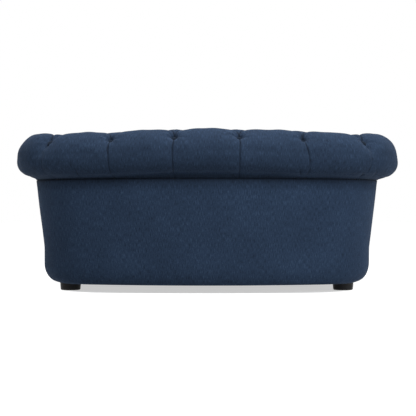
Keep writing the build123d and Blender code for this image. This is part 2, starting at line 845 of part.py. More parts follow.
with BuildPart() as cushion_cover:
    for sections in cushion_lofts(0):
        loft(sections)
    for sections in cushion_lofts(cushion_cover_thickness):
        loft(sections, mode=Mode.SUBTRACT)
    with BuildSketch(bow_plane(zip_half_angle)):
        with Locations((boxing_radius, zip_middle_height)):
            Rectangle(2 * zip_slot_height, zip_slot_height)
    revolve(axis=bow_axis, revolution_arc=2 * zip_half_angle, mode=Mode.SUBTRACT)
save(cushion_cover.part, "cushion_cover")

with BuildPart() as cushion_core:
    for sections in cushion_lofts(cushion_cover_thickness + clearance):
        loft(sections)
save(cushion_core.part, "cushion_core")

for label, height in (("cushion_welt_top", cushion_seam), ("cushion_welt_bottom", cushion_hem)):
    seam = cushion_section(height, -cushion_welt_radius - clearance).face().outer_wire()
    with BuildPart() as cushion_welt:
        with BuildSketch(Plane(origin=seam @ 0, z_dir=seam % 0)):
            Circle(cushion_welt_radius)
        sweep(path=seam)
    save(cushion_welt.part, label)

# Zip of the cushion's cover, along the rear boxing
tape_radius = boxing_radius - cushion_cover_thickness + clearance
coil_radius = tape_radius + zip_tape_thickness
coil_outer_radius = coil_radius + coil_thickness
tape_half_angle = zip_half_angle - degrees(clearance / boxing_radius)
coil_half_angle = tape_half_angle - stop_angle
slider_channel = coil_height + 2 * clearance
slider_width = slider_channel + 2 * slider_wall
slider_radius = coil_outer_radius + clearance
slider_outer_radius = slider_radius + slider_wall


def zip_strip(turn, sweep_angle, inner, outer, height):
    """Curved strip along the zip, from a turn towards the left, between two radii."""
    with BuildPart() as strip:
        with BuildSketch(bow_plane(turn)):
            with Locations((inner, zip_middle_height)):
                Rectangle(outer - inner, height, align=(Align.MIN, Align.CENTER))
        revolve(axis=bow_axis, revolution_arc=sweep_angle)
    return strip.part


tape_height = zip_slot_height - 2 * clearance
save(zip_strip(tape_half_angle, 2 * tape_half_angle, tape_radius, coil_radius, tape_height), "zip_tape")
save(zip_strip(coil_half_angle, 2 * coil_half_angle, coil_radius, coil_outer_radius, coil_height), "zip_chain")

with BuildPart() as zip_stops:
    for turn in (tape_half_angle, -coil_half_angle):
        add(zip_strip(turn, stop_angle, coil_radius, slider_outer_radius, slider_width))
save(zip_stops.part, "zip_stops")

# Slider at the right end of the zip, with the bridge and pin that carry its pull
slider_turn = coil_half_angle - slider_angle / 2 - degrees(clearance / boxing_radius)
slider_facing = (sin(radians(slider_turn)), cos(radians(slider_turn)))
slider_seat = Plane(
    origin=(0, bow_centre_y, zip_middle_height),
    x_dir=(slider_facing[1], -slider_facing[0], 0),
    z_dir=(0, 0, 1),
)
knuckle_radius = pin_radius + pin_clearance + pull_thickness / 2
pin_spot = (0, slider_outer_radius + knuckle_radius + clearance)
lug_thickness = (slider_width - pull_width) / 2 - clearance
slider_start = slider_turn + slider_angle / 2

with BuildPart() as zip_slider:
    add(zip_strip(slider_start, slider_angle, coil_radius + clearance, slider_outer_radius, slider_width))
    add(
        zip_strip(slider_start, slider_angle, coil_radius - zip_tape_thickness, slider_radius, slider_channel),
        mode=Mode.SUBTRACT,
    )
    for height in (pull_width / 2 + clearance, -slider_width / 2):
        with BuildSketch(slider_seat.offset(height)):
            with Locations(pin_spot):
                Circle(knuckle_radius)
                Rectangle(2 * knuckle_radius, knuckle_radius + 2 * clearance, align=(Align.CENTER, Align.MAX))
        extrude(amount=lug_thickness)
    with BuildSketch(slider_seat):
        with Locations(pin_spot):
            Circle(pin_radius)
    extrude(amount=slider_width / 2 - lug_thickness / 2, both=True)
save(zip_slider.part, "zip_slider")

with BuildPart() as zip_pull:
    with BuildSketch(slider_seat):
        with Locations(pin_spot):
            Circle(knuckle_radius)
            Rectangle(pull_length, pull_thickness, align=(Align.MAX, Align.CENTER))
            Circle(pin_radius + pin_clearance, mode=Mode.SUBTRACT)
    extrude(amount=pull_width / 2, both=True)
    with Locations(slider_seat * Location((pull_width / 2 - pull_length, pin_spot[1], 0), (90, 0, 0))):
        Cylinder(pull_hole_radius, 2 * pull_width, mode=Mode.SUBTRACT)
save(zip_pull.part, "zip_pull")

pin_place = slider_seat.from_local_coords((*pin_spot, 0))
print("zip pull pin", pin_place.X, pin_place.Y, pin_place.Z)
print("zip axis", bow_centre_y, "slider travel in degrees", 2 * slider_turn)
print("front and back of the wall line", front_y, back_y, "corner", corner_x, corner_y)
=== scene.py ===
"""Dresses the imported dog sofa: tufted roll, outside, arm fronts, cushion, zip, linings, timber and feet.

Metres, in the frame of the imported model: +Z is up and the open front faces -Y. "Out" is the distance
outward from the wall line, the plan curve of the outside cloth near the floor. "Station" is the distance
round the wall from the middle of the back, positive towards +X. "Length" is the distance along the roll's
section, from under its outside.
"""

import math

import bpy
import numpy as np
from mathutils import Matrix, Vector


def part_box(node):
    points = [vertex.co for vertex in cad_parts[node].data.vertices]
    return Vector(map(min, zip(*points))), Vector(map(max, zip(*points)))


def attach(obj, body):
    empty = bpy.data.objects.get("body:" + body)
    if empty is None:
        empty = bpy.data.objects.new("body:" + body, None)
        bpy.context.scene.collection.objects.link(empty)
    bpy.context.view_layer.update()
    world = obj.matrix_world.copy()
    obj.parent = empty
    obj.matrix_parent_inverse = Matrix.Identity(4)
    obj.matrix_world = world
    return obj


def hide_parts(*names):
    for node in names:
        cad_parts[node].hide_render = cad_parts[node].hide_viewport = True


bl_info = {
    "name": "Tufted dog sofa",
    "version": (1, 0, 0),
    "blender": (4, 5, 0),
    "location": "3D View > Sidebar > Sofa",
    "description": "Upholstery, cushion, fittings and studio around the packed dog sofa",
    "category": "Object",
}

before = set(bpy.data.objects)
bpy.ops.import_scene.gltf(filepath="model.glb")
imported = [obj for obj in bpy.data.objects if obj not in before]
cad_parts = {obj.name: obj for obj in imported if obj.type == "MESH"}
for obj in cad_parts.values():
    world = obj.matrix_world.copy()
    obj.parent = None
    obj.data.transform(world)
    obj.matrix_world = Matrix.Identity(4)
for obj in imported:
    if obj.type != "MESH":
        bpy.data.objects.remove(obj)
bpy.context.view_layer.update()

# Plan of the wall
FLARE_REACH = 0.019
HALF_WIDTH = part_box("outside_cover")[1].x - FLARE_REACH
BACK_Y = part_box("outside_cover")[1].y - FLARE_REACH
FRONT_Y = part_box("outside_cover")[0].y
BOW_RADIUS = 0.9
CORNER_RADIUS = 0.17
ROLL_OUT = 0.014
BOW_CENTRE_Y = BACK_Y - BOW_RADIUS
CORNER_X = HALF_WIDTH - CORNER_RADIUS
CORNER_Y = BOW_CENTRE_Y + math.sqrt((BOW_RADIUS - CORNER_RADIUS) ** 2 - CORNER_X**2)
BOW_TURN = math.asin(CORNER_X / (BOW_RADIUS - CORNER_RADIUS))
BOW_STATION = (BOW_RADIUS + ROLL_OUT) * BOW_TURN
SIDE_STATION = BOW_STATION + (CORNER_RADIUS + ROLL_OUT) * (math.pi / 2 - BOW_TURN)
END_STATION = SIDE_STATION + CORNER_Y - FRONT_Y

# Roll, inside face and outside panel
ROLL_HEIGHT = 0.320
ROLL_FALL = 0.0065
FALL_END = 0.219
ROLL_RADIUS_BACK = 0.050
ROLL_RADIUS_ARM = 0.053
SWELL_START = 0.150
SWELL_END = 0.430
NECK_OUT = 0.0165
NECK_HEADING = -80
BLEND_HEADING = 135
PANEL_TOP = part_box("outside_cover")[1].z
WALL_FACE = -0.062
WALL_CORE = -0.0376
FLARE_START = 0.100
EDGE_ROLL_RADIUS = 0.026
EDGE_ROLL_RISE = 0.046
EDGE_ROLL_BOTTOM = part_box("outside_cover")[0].z
CORNER_DRAW = 0.012
CORNER_DRAW_STATION = 0.46
CORNER_DRAW_REACH = 0.07
FOOT_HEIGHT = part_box("foot_back_right")[1].z
FLAP_REACH = 0.062
BOARD_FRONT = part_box("base_board")[0].y
BOARD_LOW = 0.0535
TUCK_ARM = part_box("right_arm_tufted_cover")[0].z
TUCK_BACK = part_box("back_tufted_cover")[0].z

# Tufting: pleats between the bays, and the turns of the rows of buttons from the top towards the outside
TUFT_PITCH = 0.139
CORNER_PLEAT = 0.352
ARM_BAYS = 3
ARM_BAY = (END_STATION - CORNER_PLEAT) / ARM_BAYS
OUTER_ROW_TURN = 46
INNER_ROW_TURN = -45
HANG_START = 0.022
FOLD_BEND = 2.0
CORNER_PIT_SHARE = 0.3
CORNER_PLEAT_SHARE = 0.4
PILLOW_LEVEL = 0.8
RIDGE_SHARE = 0.35
EDGE_EASE = 0.03
COVER_CURL = 0.008
BACK_PLEATS = [share * TUFT_PITCH for share in (-1.5, -0.5, 0.5, 1.5)]
ARM_PLEATS = [CORNER_PLEAT + bay * ARM_BAY for bay in range(ARM_BAYS + 1)]
PLEATS = sorted([*BACK_PLEATS, *ARM_PLEATS, *(-place for place in ARM_PLEATS)])
MIDDLES = [(low + high) / 2 for low, high in zip(PLEATS, PLEATS[1:])]

# Unevenness of hand work: leaning and wandering folds, fuller and slacker bays, and where the arm is snug
PLEAT_LEANS = (-0.02, 0.06)
LEFT_PLEAT_LEAN = -0.13
LEAN_REACH = 0.08
WANDER = 0.0016
FULLNESS = (0.88, 1.12)
FULL_BAY = 0.003
FULL_BAY_STATION = -0.20
SNUG_STATION = 0.40
SETTLE_STATION = 0.315

# Creases that the cloth's pull makes low on the roll: station, length along the section, lean, half length
DRAG_CREASES = [
    (0.290, 0.058, -0.12, 0.007),
    (0.284, 0.036, -0.12, 0.016),
    (0.395, 0.034, -0.8, 0.014),
    (-0.203, 0.034, 0.3, 0.012),
    (-0.350, 0.030, 0.5, 0.016),
    (-0.385, 0.036, 0.7, 0.016),
]
DRAG_DEPTH = 0.0022
DRAG_WIDTH = 0.0022
# Width of the thin line of painted shade down each crease
DRAG_LINE = 0.0013

# Pinch round a pit, across and along, its ring of puckers, and the painted shade inside it
PINCH_ACROSS = 0.024
PINCH_ALONG = 0.042
PUCKER_RING = 0.017
PUCKER_REACH = 0.009
PIT_SHADE = 0.85
PIT_SHADE_REACH = 0.0058

# Painted shade down inside a fold, and its reach to each side
FOLD_SHADE = 0.9
FOLD_SHADE_REACH = 0.0014
CORNER_SHADE = 0.35
CORNER_SHADE_REACH = 0.0016

# How far each pillow swells and each fold sinks at the section's marks, as shares of the deepest
PUFF_SHARES = (0.05, 0.22, 0.6, 0.95, 1.0, 1.0, 0.55, 0.25)
FOLD_SHARES = (0.35, 0.8, 1.0, 0.9, 0.9, 0.9, 0.7, 0.4)

# Points of the roll's section: neck, roll, blend, inside face and curl
NECK_POINTS = 20
ROLL_POINTS = 430
BLEND_POINTS = 200
FACE_POINTS = 240
CURL_POINTS = 24

# Inner side of the roll's foam, over the top rail and the panel's head, and its draw under the cover
FOAM_DRAW = 0.0045
RAIL_TOP = 0.3023
RAIL_OUT = 0.0263
HEAD_TOP = 0.2897
HEAD_OUT = 0.0077

# Thicknesses of the cloths
COVER_THICKNESS = 0.002
OUTSIDE_THICKNESS = 0.0028
LINING_THICKNESS = 0.0009

# Padded arm front: inset and depth of its board, rim, swell, crown and rounded edge
FACING_INSET = 0.0063
FACING_DEPTH = 0.0103
FACING_RIM = 0.0028
FACING_SWELL = 0.0072
FACING_CROWN = 0.0035
FACING_EDGE = 0.011
FACING_VOXEL = 0.0024
FACING_WELT_INSET = 0.003
FACING_WELT_RADIUS = 0.0031

# Wadding, drawn in from the cloth's shown face
EDGE_WADDING_DRAW = 0.0054
EDGE_WADDING_RISE_DRAW = 0.0068
FRONT_WADDING_RADIUS = 0.0165

# Cushion and its zip
CUSHION_OUT = -0.072
CUSHION_FRONT = FRONT_Y + 0.006
CUSHION_CORNER = 0.034
CUSHION_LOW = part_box("cushion_cover")[0].z
CUSHION_HEM = CUSHION_LOW + 0.007
CUSHION_SEAM = CUSHION_LOW + 0.084
CUSHION_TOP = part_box("cushion_cover")[1].z
CUSHION_WAIST = 0.003
BOXING_RADIUS = BOW_RADIUS + CUSHION_OUT - CUSHION_WAIST
ZIP_HEIGHT = (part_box("zip_tape")[0].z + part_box("zip_tape")[1].z) / 2
ZIP_HALF_ANGLE = 15.5
CUSHION_WELT_OUT = 0.0004
CUSHION_WELT_RADIUS = 0.0027
CORE_INSET = 0.006
CORE_DROP = 0.008
SWELL_ROOM = 0.006
ZIP_SINK = 0.0035
LIP_HEIGHT = 0.0078
STITCH_HEIGHT = 0.0082
FABRIC_GAP = 0.0003
RING_POINTS = 900

# Painted shadow on the floor: half width, half depth, shift to the front, and where it starts and ends to
# fade
SHADE_HALF_WIDTH = 0.335
SHADE_HALF_DEPTH = 0.218
SHADE_SHIFT = 0.03
SHADE_FADE = (0.8, 1.15)
FLOOR_REACH = 14.0

# Camera's shift, as shares of the picture's width
SHIFT_ACROSS = 1.2 / 416
SHIFT_UP = 2.0 / 416

UV = "weave"


# Sizes and colours that a user may change
class SofaCloth(bpy.types.PropertyGroup):
    """Navy upholstery cloth."""

    colour: bpy.props.FloatVectorProperty(
        name="Colour", description="Main colour of the cloth", subtype="COLOR", size=3,
        default=(0.026, 0.049, 0.096),
    )
    dark: bpy.props.FloatVectorProperty(
        name="Dark thread", description="Colour of the dark threads", subtype="COLOR", size=3,
        default=(0.008, 0.016, 0.033),
    )
    light: bpy.props.FloatVectorProperty(
        name="Light thread", description="Colour of the pale threads", subtype="COLOR", size=3,
        default=(0.056, 0.100, 0.186),
    )
    slub_width: bpy.props.FloatProperty(
        name="Slub width", description="Width of a thick thread", unit="LENGTH", default=0.0013, precision=4
    )
    slub_length: bpy.props.FloatProperty(
        name="Slub length", description="Length of a thick thread's streak", unit="LENGTH",
        default=0.012, precision=4,
    )
    thread: bpy.props.FloatProperty(
        name="Thread pitch", description="Distance from thread to thread", unit="LENGTH",
        default=0.0011, precision=5,
    )


class SofaTufting(bpy.types.PropertyGroup):
    """Depths of the tufting."""

    puff: bpy.props.FloatProperty(
        name="Puff", description="How far a pillow swells", unit="LENGTH", default=0.0045
    )
    pit: bpy.props.FloatProperty(
        name="Pit", description="Depth of a button's pit", unit="LENGTH", default=0.011
    )
    pit_radius: bpy.props.FloatProperty(
        name="Pit radius", description="Reach of a pit", unit="LENGTH", default=0.0092
    )
    pinch: bpy.props.FloatProperty(
        name="Pinch", description="Wider hollow round a pit", unit="LENGTH", default=0.003
    )
    crease: bpy.props.FloatProperty(
        name="Crease", description="Depth of a fold", unit="LENGTH", default=0.003
    )
    crease_width: bpy.props.FloatProperty(
        name="Crease width", description="Reach of a fold to each side", unit="LENGTH",
        default=0.0021, precision=4,
    )
    pucker: bpy.props.FloatProperty(
        name="Pucker", description="Height of the puckers", unit="LENGTH", default=0.0007
    )
    settle: bpy.props.FloatProperty(
        name="Corner settle", description="How far the roll settles on the corners", unit="LENGTH",
        default=0.002,
    )
    hang: bpy.props.FloatProperty(
        name="Hang", description="Fullness of the roll's lower outside", unit="LENGTH", default=0.005
    )
    snug: bpy.props.FloatProperty(
        name="Snug arm", description="How much tighter the right arm is packed", unit="LENGTH",
        default=0.0035,
    )
    corner_fold: bpy.props.FloatProperty(
        name="Corner fold", description="Depth of the fold over the roll at a corner", unit="LENGTH",
        default=0.010,
    )
    sink: bpy.props.FloatProperty(
        name="Button sink", description="Depth of a button's seat", unit="LENGTH", default=0.013
    )


class SofaCushion(bpy.types.PropertyGroup):
    """Filling of the seat cushion."""

    pressure: bpy.props.FloatProperty(
        name="Pressure", description="Pressure of the filling", default=4.0
    )
    cap: bpy.props.FloatProperty(
        name="Cap", description="Farthest that the cloth may swell", unit="LENGTH",
        default=0.009,
    )
    voxel: bpy.props.FloatProperty(
        name="Voxel", description="Size of the cloth's mesh", unit="LENGTH", default=0.006
    )
    frames: bpy.props.IntProperty(name="Frames", description="Steps of the simulation", default=20)


class SofaStage(bpy.types.PropertyGroup):
    """Studio: camera, lamps and floor."""

    distance: bpy.props.FloatProperty(
        name="Distance", description="Camera to the back panel", unit="LENGTH", default=2.7
    )
    height: bpy.props.FloatProperty(
        name="Height", description="Camera above the floor", unit="LENGTH", default=0.188
    )
    lens: bpy.props.FloatProperty(name="Lens", description="Focal length in millimetres", default=104.7)
    key: bpy.props.FloatProperty(
        name="Key lamp", description="Power of the lamp far to the right", default=30.0
    )
    top: bpy.props.FloatProperty(name="Top lamp", description="Power of the lamp overhead", default=31.0)
    right: bpy.props.FloatProperty(
        name="Right lamp", description="Power of the near lamp at the right", default=6.0
    )
    left: bpy.props.FloatProperty(
        name="Left lamp", description="Power of the near lamp at the left", default=1.5
    )
    world: bpy.props.FloatProperty(
        name="World", description="Strength of the room's light", default=0.05
    )
    # Bounce is a glow of the floor that paints light bounced up to the sofa
    bounce: bpy.props.FloatProperty(
        name="Bounce", description="Light that the floor sends back up", default=0.17
    )
    # Floor shade is the brightness of the painted shadow under the sofa
    shade: bpy.props.FloatProperty(
        name="Floor shade", description="Brightness of the floor in full shadow",
        default=0.55,
    )


# Plan and section geometry
def wall_at(stations):
    """Places on the wall line and the outward directions there, in plan."""
    run = np.abs(stations)
    side = np.where(stations < 0, -1.0, 1.0)
    bowed = run <= BOW_STATION
    corner_turn = BOW_TURN + (run - BOW_STATION) / (CORNER_RADIUS + ROLL_OUT)
    turn = np.where(bowed, run / (BOW_RADIUS + ROLL_OUT), np.minimum(corner_turn, math.pi / 2))
    x = np.where(bowed, BOW_RADIUS * np.sin(turn), CORNER_X + CORNER_RADIUS * np.sin(turn))
    y = np.where(bowed, BOW_CENTRE_Y + BOW_RADIUS * np.cos(turn), CORNER_Y + CORNER_RADIUS * np.cos(turn))
    y = y - np.maximum(run - SIDE_STATION, 0)
    return side * x, y, side * np.sin(turn), np.cos(turn)


def on_wall(stations, out, height):
    """Points at a distance out from the wall line and a height, for arrays that broadcast together."""
    stations, out, height = np.broadcast_arrays(stations, out, height)
    x, y, across, back = wall_at(stations)
    return np.stack([x + across * out, y + back * out, height], -1)


def arc_points(centre, radius, start, end, count):
    """Points of an arc between two headings, in degrees from the first axis towards the second."""
    turn = np.radians(np.linspace(start, end, count))
    return np.stack([centre[0] + radius * np.cos(turn), centre[1] + radius * np.sin(turn)], -1)


def lengths(line):
    """Distance along a line of points, from its first point."""
    return np.concatenate([[0], np.cumsum(np.linalg.norm(np.diff(line, axis=0), axis=1))])


def unit(vectors):
    """Directions of vectors."""
    return vectors / np.linalg.norm(vectors, axis=-1, keepdims=True)


def square_to(along):
    """Directions square to a section's run, towards its shown side."""
    return np.stack([along[..., 1], -along[..., 0]], -1)


def resampled(line, places):
    """Points of a line at the given distances along it."""
    run = lengths(line)
    return np.stack([np.interp(places, run, line[:, axis]) for axis in range(line.shape[1])], -1)


def rounded(line, spacing, blur, closed=False):
    """The line with its corners eased, at an even spacing."""
    if closed:
        line = np.concatenate([line, line[:1]])
    total = lengths(line)[-1]
    count = max(8, round(total / (spacing / 4)))
    fine = resampled(line, np.linspace(0, total, count + 1))
    reach = max(1, round(2.5 * blur / (total / count)))
    weights = np.exp(-0.5 * (np.arange(-reach, reach + 1) * (total / count) / blur) ** 2)
    weights = weights / weights.sum()
    if closed:
        ring = fine[:-1]
        padded = np.concatenate([ring[-reach:], ring, ring[:reach]])
    else:
        before = 2 * fine[0] - fine[reach:0:-1]
        after = 2 * fine[-1] - fine[-2 : -reach - 2 : -1]
        padded = np.concatenate([before, fine, after])
    soft = np.stack([np.convolve(padded[:, axis], weights, "valid") for axis in range(line.shape[1])], -1)
    if closed:
        soft = np.concatenate([soft, soft[:1]])
    even = resampled(soft, np.linspace(0, lengths(soft)[-1], round(total / spacing) + 1))
    return even[:-1] if closed else even


def spread(low, high, spots, fine, coarse, reach):
    """Places from low to high, close together near the spots."""
    trial = np.linspace(low, high, int((high - low) / (fine / 4)) + 2)
    gap = np.min(np.abs(trial[:, None] - np.asarray(spots)[None, :]), axis=1)
    spacing = fine + (coarse - fine) * np.clip(gap / reach - 0.5, 0, 1)
    count = np.concatenate([[0], np.cumsum(2 * np.diff(trial) / (spacing[1:] + spacing[:-1]))])
    return np.interp(np.linspace(0, count[-1], math.ceil(count[-1]) + 1), count, trial)


def ripples(x, y, size, seed, count=9):
    """Smooth uneven waves of about the given size, mostly between -1 and 1."""
    rng = np.random.default_rng(seed)
    total = 0
    for _ in range(count):
        turn, phase = rng.uniform(0, 2 * math.pi, 2)
        pitch = 2 * math.pi / (size * rng.uniform(0.7, 1.6))
        total = total + np.sin((x * math.cos(turn) + y * math.sin(turn)) * pitch + phase)
    return total / math.sqrt(count)


def bell(away, reach):
    """One at no distance, falling off smoothly to both sides."""
    return np.exp(-((away / reach) ** 2))


def rising(value, reach):
    """Nought below nought, then rising evenly to one at the reach."""
    return np.clip(value / reach, 0, 1)


def ring_gaps(ring, places):
    """Distance from each place to the nearest point of a ring, and that point's number."""
    gaps, nearest = [], []
    for place in places:
        away = np.hypot(*(ring - place).T)
        gaps.append(away.min())
        nearest.append(away.argmin())
    return np.array(gaps), np.array(nearest)


# Mesh helpers
def new_object(name, vertices, faces, material):
    """A smooth piece in the scene, from its points and faces."""
    mesh = bpy.data.meshes.new(name)
    mesh.from_pydata(np.asarray(vertices).tolist(), [], [list(face) for face in faces])
    mesh.polygons.foreach_set("use_smooth", [True] * len(mesh.polygons))
    mesh.materials.append(material)
    made = bpy.data.objects.new(name, mesh)
    bpy.context.scene.collection.objects.link(made)
    return made


def vertex_places(made):
    """Places of a piece's points."""
    places = np.zeros(len(made.data.vertices) * 3)
    made.data.vertices.foreach_get("co", places)
    return places.reshape(-1, 3)


def set_places(made, places):
    """Moves a piece's points to new places."""
    made.data.vertices.foreach_set("co", places.reshape(-1))
    made.data.update()


def grid_cells(rows, columns):
    """Row and column numbers of the cells of a grid."""
    row, column = np.meshgrid(np.arange(rows), np.arange(columns), indexing="ij")
    return row.ravel(), column.ravel()


def grid_piece(name, points, across, along, material, flip=False, closed=False):
    """A sheet of quads: rows by columns of points, and their places across and along the weave."""
    rows, columns = points.shape[:2]
    row, column = grid_cells(rows - 1, columns if closed else columns - 1)
    corners = [(row, column), (row, column + 1), (row + 1, column + 1), (row + 1, column)]
    if flip:
        corners = [corners[0], *corners[:0:-1]]
    faces = np.stack([r * columns + c % columns for r, c in corners], -1)
    made = new_object(name, points.reshape(-1, 3), faces, material)
    layer = made.data.uv_layers.new(name=UV)
    flat = np.stack([np.stack([along[c], across[r]], -1) for r, c in corners], 1)
    layer.data.foreach_set("uv", flat.reshape(-1).astype(np.float32))
    return made


def box_mapped(made):
    """Gives a piece a weave map from its places, seen along the main direction of each face."""
    mesh = made.data
    layer = mesh.uv_layers.get(UV) or mesh.uv_layers.new(name=UV)
    count = len(mesh.polygons)
    normals = np.zeros(count * 3, np.float32)
    mesh.polygons.foreach_get("normal", normals)
    sizes = np.zeros(count, np.int32)
    mesh.polygons.foreach_get("loop_total", sizes)
    main = np.repeat(np.abs(normals.reshape(-1, 3)).argmax(1), sizes)
    corner = np.zeros(len(mesh.loops), np.int32)
    mesh.loops.foreach_get("vertex_index", corner)
    at = vertex_places(made).astype(np.float32)[corner]
    first = np.where(main == 0, at[:, 1], at[:, 0])
    second = np.where(main == 2, at[:, 1], at[:, 2])
    layer.data.foreach_set("uv", np.stack([first, second], -1).reshape(-1))


def swept_faces(count, around, flip=False):
    """Faces of a closed block swept from count closed sections, with a cap at each end."""
    section, place = grid_cells(count - 1, around)
    following = (place + 1) % around
    first, second = section * around, (section + 1) * around
    corners = [first + place, first + following, second + following, second + place]
    caps = [list(range(around))[::-1], list(range((count - 1) * around, count * around))]
    if flip:
        corners = [corners[0], *corners[:0:-1]]
        caps = [cap[::-1] for cap in caps]
    return [*np.stack(corners, -1).tolist(), *caps]


def block_piece(name, points, material):
    """A closed block swept from closed sections: points are stations by places round each section."""
    made = new_object(name, points.reshape(-1, 3), swept_faces(*points.shape[:2]), material)
    box_mapped(made)
    return made


def shaded(made, shade):
    """Paints shade on each point of a piece through its fold attribute, from 0 to 1."""
    fold = made.data.attributes.new("fold", "FLOAT", "POINT")
    fold.data.foreach_set("value", np.asarray(shade).reshape(-1).astype(np.float32))


def thicken(made, thickness):
    """Gives a sheet its thickness, inward from its shown side."""
    modifier = made.modifiers.new("Thickness", "SOLIDIFY")
    modifier.thickness = thickness
    modifier.offset = -1


def tube_piece(name, path, radius, side, material, sides=12):
    """A closed round cord along a ring of points in a plane, whose normal is side."""
    across = np.cross(unit(np.roll(path, -1, axis=0) - np.roll(path, 1, axis=0)), side)
    turn = np.linspace(0, 2 * math.pi, sides, endpoint=False)[:, None, None]
    points = path + radius * (np.cos(turn) * across + np.sin(turn) * np.asarray(side, float))
    rows = np.concatenate([points, points[:1]])
    run = lengths(np.concatenate([path, path[:1]]))
    around = radius * np.linspace(0, 2 * math.pi, sides + 1)
    made = grid_piece(name, rows, around, run, material, closed=True)
    return plain_mesh(made, merge=True)


def plain_mesh(made, merge=False):
    """Applies a piece's modifiers, and joins doubled points if asked."""
    if merge:
        modifier = made.modifiers.new("Join", "WELD")
        modifier.merge_threshold = 1e-5
    graph = bpy.context.evaluated_depsgraph_get()
    mesh = bpy.data.meshes.new_from_object(made.evaluated_get(graph))
    old = made.data
    made.modifiers.clear()
    made.data = mesh
    mesh.name = made.name
    bpy.data.meshes.remove(old)
    return made


def evened(made, size):
    """Remakes a closed piece as a mesh of even faces."""
    remesh = made.modifiers.new("Even", "REMESH")
    remesh.mode = "VOXEL"
    remesh.voxel_size = size
    remesh.use_smooth_shade = True
    return plain_mesh(made)


def settle(made, slot, *nodes, body="sofa"):
    """Hands a finished piece to its body and hides the nodes that it stands for; the slot, its finish, is
    not used.
    """
    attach(made, body)
    if nodes:
        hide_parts(*nodes)
    return made


# Materials
class Nodes:
    """Shorthand for building a node tree."""

    def __init__(self, tree):
        self.tree = tree

    def node(self, kind, **settings):
        """Adds a node with its settings."""
        made = self.tree.nodes.new(kind)
        for name, value in settings.items():
            setattr(made, name, value)
        return made

    def link(self, source, target):
        """Links an output to an input."""
        self.tree.links.new(source, target)

    def feed(self, socket, value):
        """Links a socket to another, or sets it to a plain value. A colour may lack its alpha."""
        if isinstance(value, bpy.types.NodeSocket):
            self.link(value, socket)
        elif isinstance(value, tuple) and len(value) < len(socket.default_value):
            socket.default_value = (*value, 1)
        elif value is not None:
            socket.default_value = value

    def output(self, kind, inputs, **settings):
        """Adds a node, feeds its inputs by their names or numbers, and gives its first output."""
        made = self.node(kind, **settings)
        for name, value in inputs.items():
            self.feed(made.inputs[name], value)
        return made.outputs[0]

    def math(self, operation, *values):
        """Result of an operation on sockets or plain values."""
        return self.output("ShaderNodeMath", dict(enumerate(values)), operation=operation)

    def object_place(self, x, y, z, shift=(0, 0, 0)):
        """The place in the frame, scaled so that a step is x by y by z metres, and shifted by steps."""
        place = self.node("ShaderNodeTexCoord").outputs["Object"]
        scale = (1 / x, 1 / y, 1 / z)
        return self.output("ShaderNodeMapping", {"Vector": place, "Scale": scale, "Location": shift})

    def apart(self, vector):
        """The three parts of a vector, by name."""
        made = self.node("ShaderNodeSeparateXYZ")
        self.link(vector, made.inputs["Vector"])
        return made.outputs


class Shader(Nodes):
    """Shorthand for one material's nodes."""

    def __init__(self, name):
        self.material = bpy.data.materials.new(name)
        self.material.use_nodes = True
        super().__init__(self.material.node_tree)
        self.surface = self.tree.nodes["Principled BSDF"]

    def weave_place(self, across, along):
        """The place in the weave, scaled so that a step is across by along metres."""
        place = self.node("ShaderNodeUVMap", uv_map=UV).outputs["UV"]
        return self.output("ShaderNodeMapping", {"Vector": place, "Scale": (1 / across, 1 / along, 1)})

    def noise(self, place, detail=2.0, roughness=0.5, distortion=0.0):
        """Cloudy grey, with about one blotch to a step."""
        inputs = {"Vector": place, "Scale": 1.0, "Detail": detail}
        inputs.update({"Roughness": roughness, "Distortion": distortion})
        return self.output("ShaderNodeTexNoise", inputs)

    def cells(self, place, randomness=1.0):
        """Distance to the middle of the nearest cell."""
        inputs = {"Vector": place, "Scale": 1.0, "Randomness": randomness}
        return self.output("ShaderNodeTexVoronoi", inputs)

    def ramp(self, factor, *stops):
        """Colours or greys along a factor, as pairs of place and colour."""
        made = self.node("ShaderNodeValToRGB")
        band = made.color_ramp
        while len(band.elements) < len(stops):
            band.elements.new(1.0)
        for element, (place, colour) in zip(band.elements, stops):
            element.position = place
            element.color = (*(colour if isinstance(colour, tuple) else (colour,) * 3), 1)
        self.link(factor, made.inputs["Fac"])
        return made.outputs["Color"]

    def mix(self, factor, first, second, blend="MIX"):
        """Mix of two colours by a factor."""
        made = self.node("ShaderNodeMix", data_type="RGBA", blend_type=blend)
        for number, value in ((0, factor), (6, first), (7, second)):
            self.feed(made.inputs[number], value)
        return made.outputs[2]

    def bump(self, height, distance, strength=1.0, under=None):
        """Normal of a height in metres, over another normal."""
        inputs = {"Height": height, "Distance": distance, "Strength": strength, "Normal": under}
        return self.output("ShaderNodeBump", inputs)

    def finish(self, colour, roughness, normal=None, **plain):
        """Feeds colour, roughness and normal, and sets the shader's other sockets by name."""
        for socket, value in (("Base Color", colour), ("Roughness", roughness), ("Normal", normal)):
            self.feed(self.surface.inputs[socket], value)
        for name, value in plain.items():
            self.surface.inputs[name.replace("_", " ")].default_value = value
        return self.material


def weave_height(shader, thread, turned=0.0):
    """Height of a plain weave: threads that go over and under each other."""
    place = shader.node("ShaderNodeUVMap", uv_map=UV).outputs["UV"]
    scale = (math.pi / thread, math.pi / thread, 1)
    rotation = (0, 0, math.radians(turned))
    turn = shader.output("ShaderNodeMapping", {"Vector": place, "Scale": scale, "Rotation": rotation})
    parts = shader.apart(turn)
    return shader.math("MULTIPLY", shader.math("SINE", parts["X"]), shader.math("SINE", parts["Y"]))


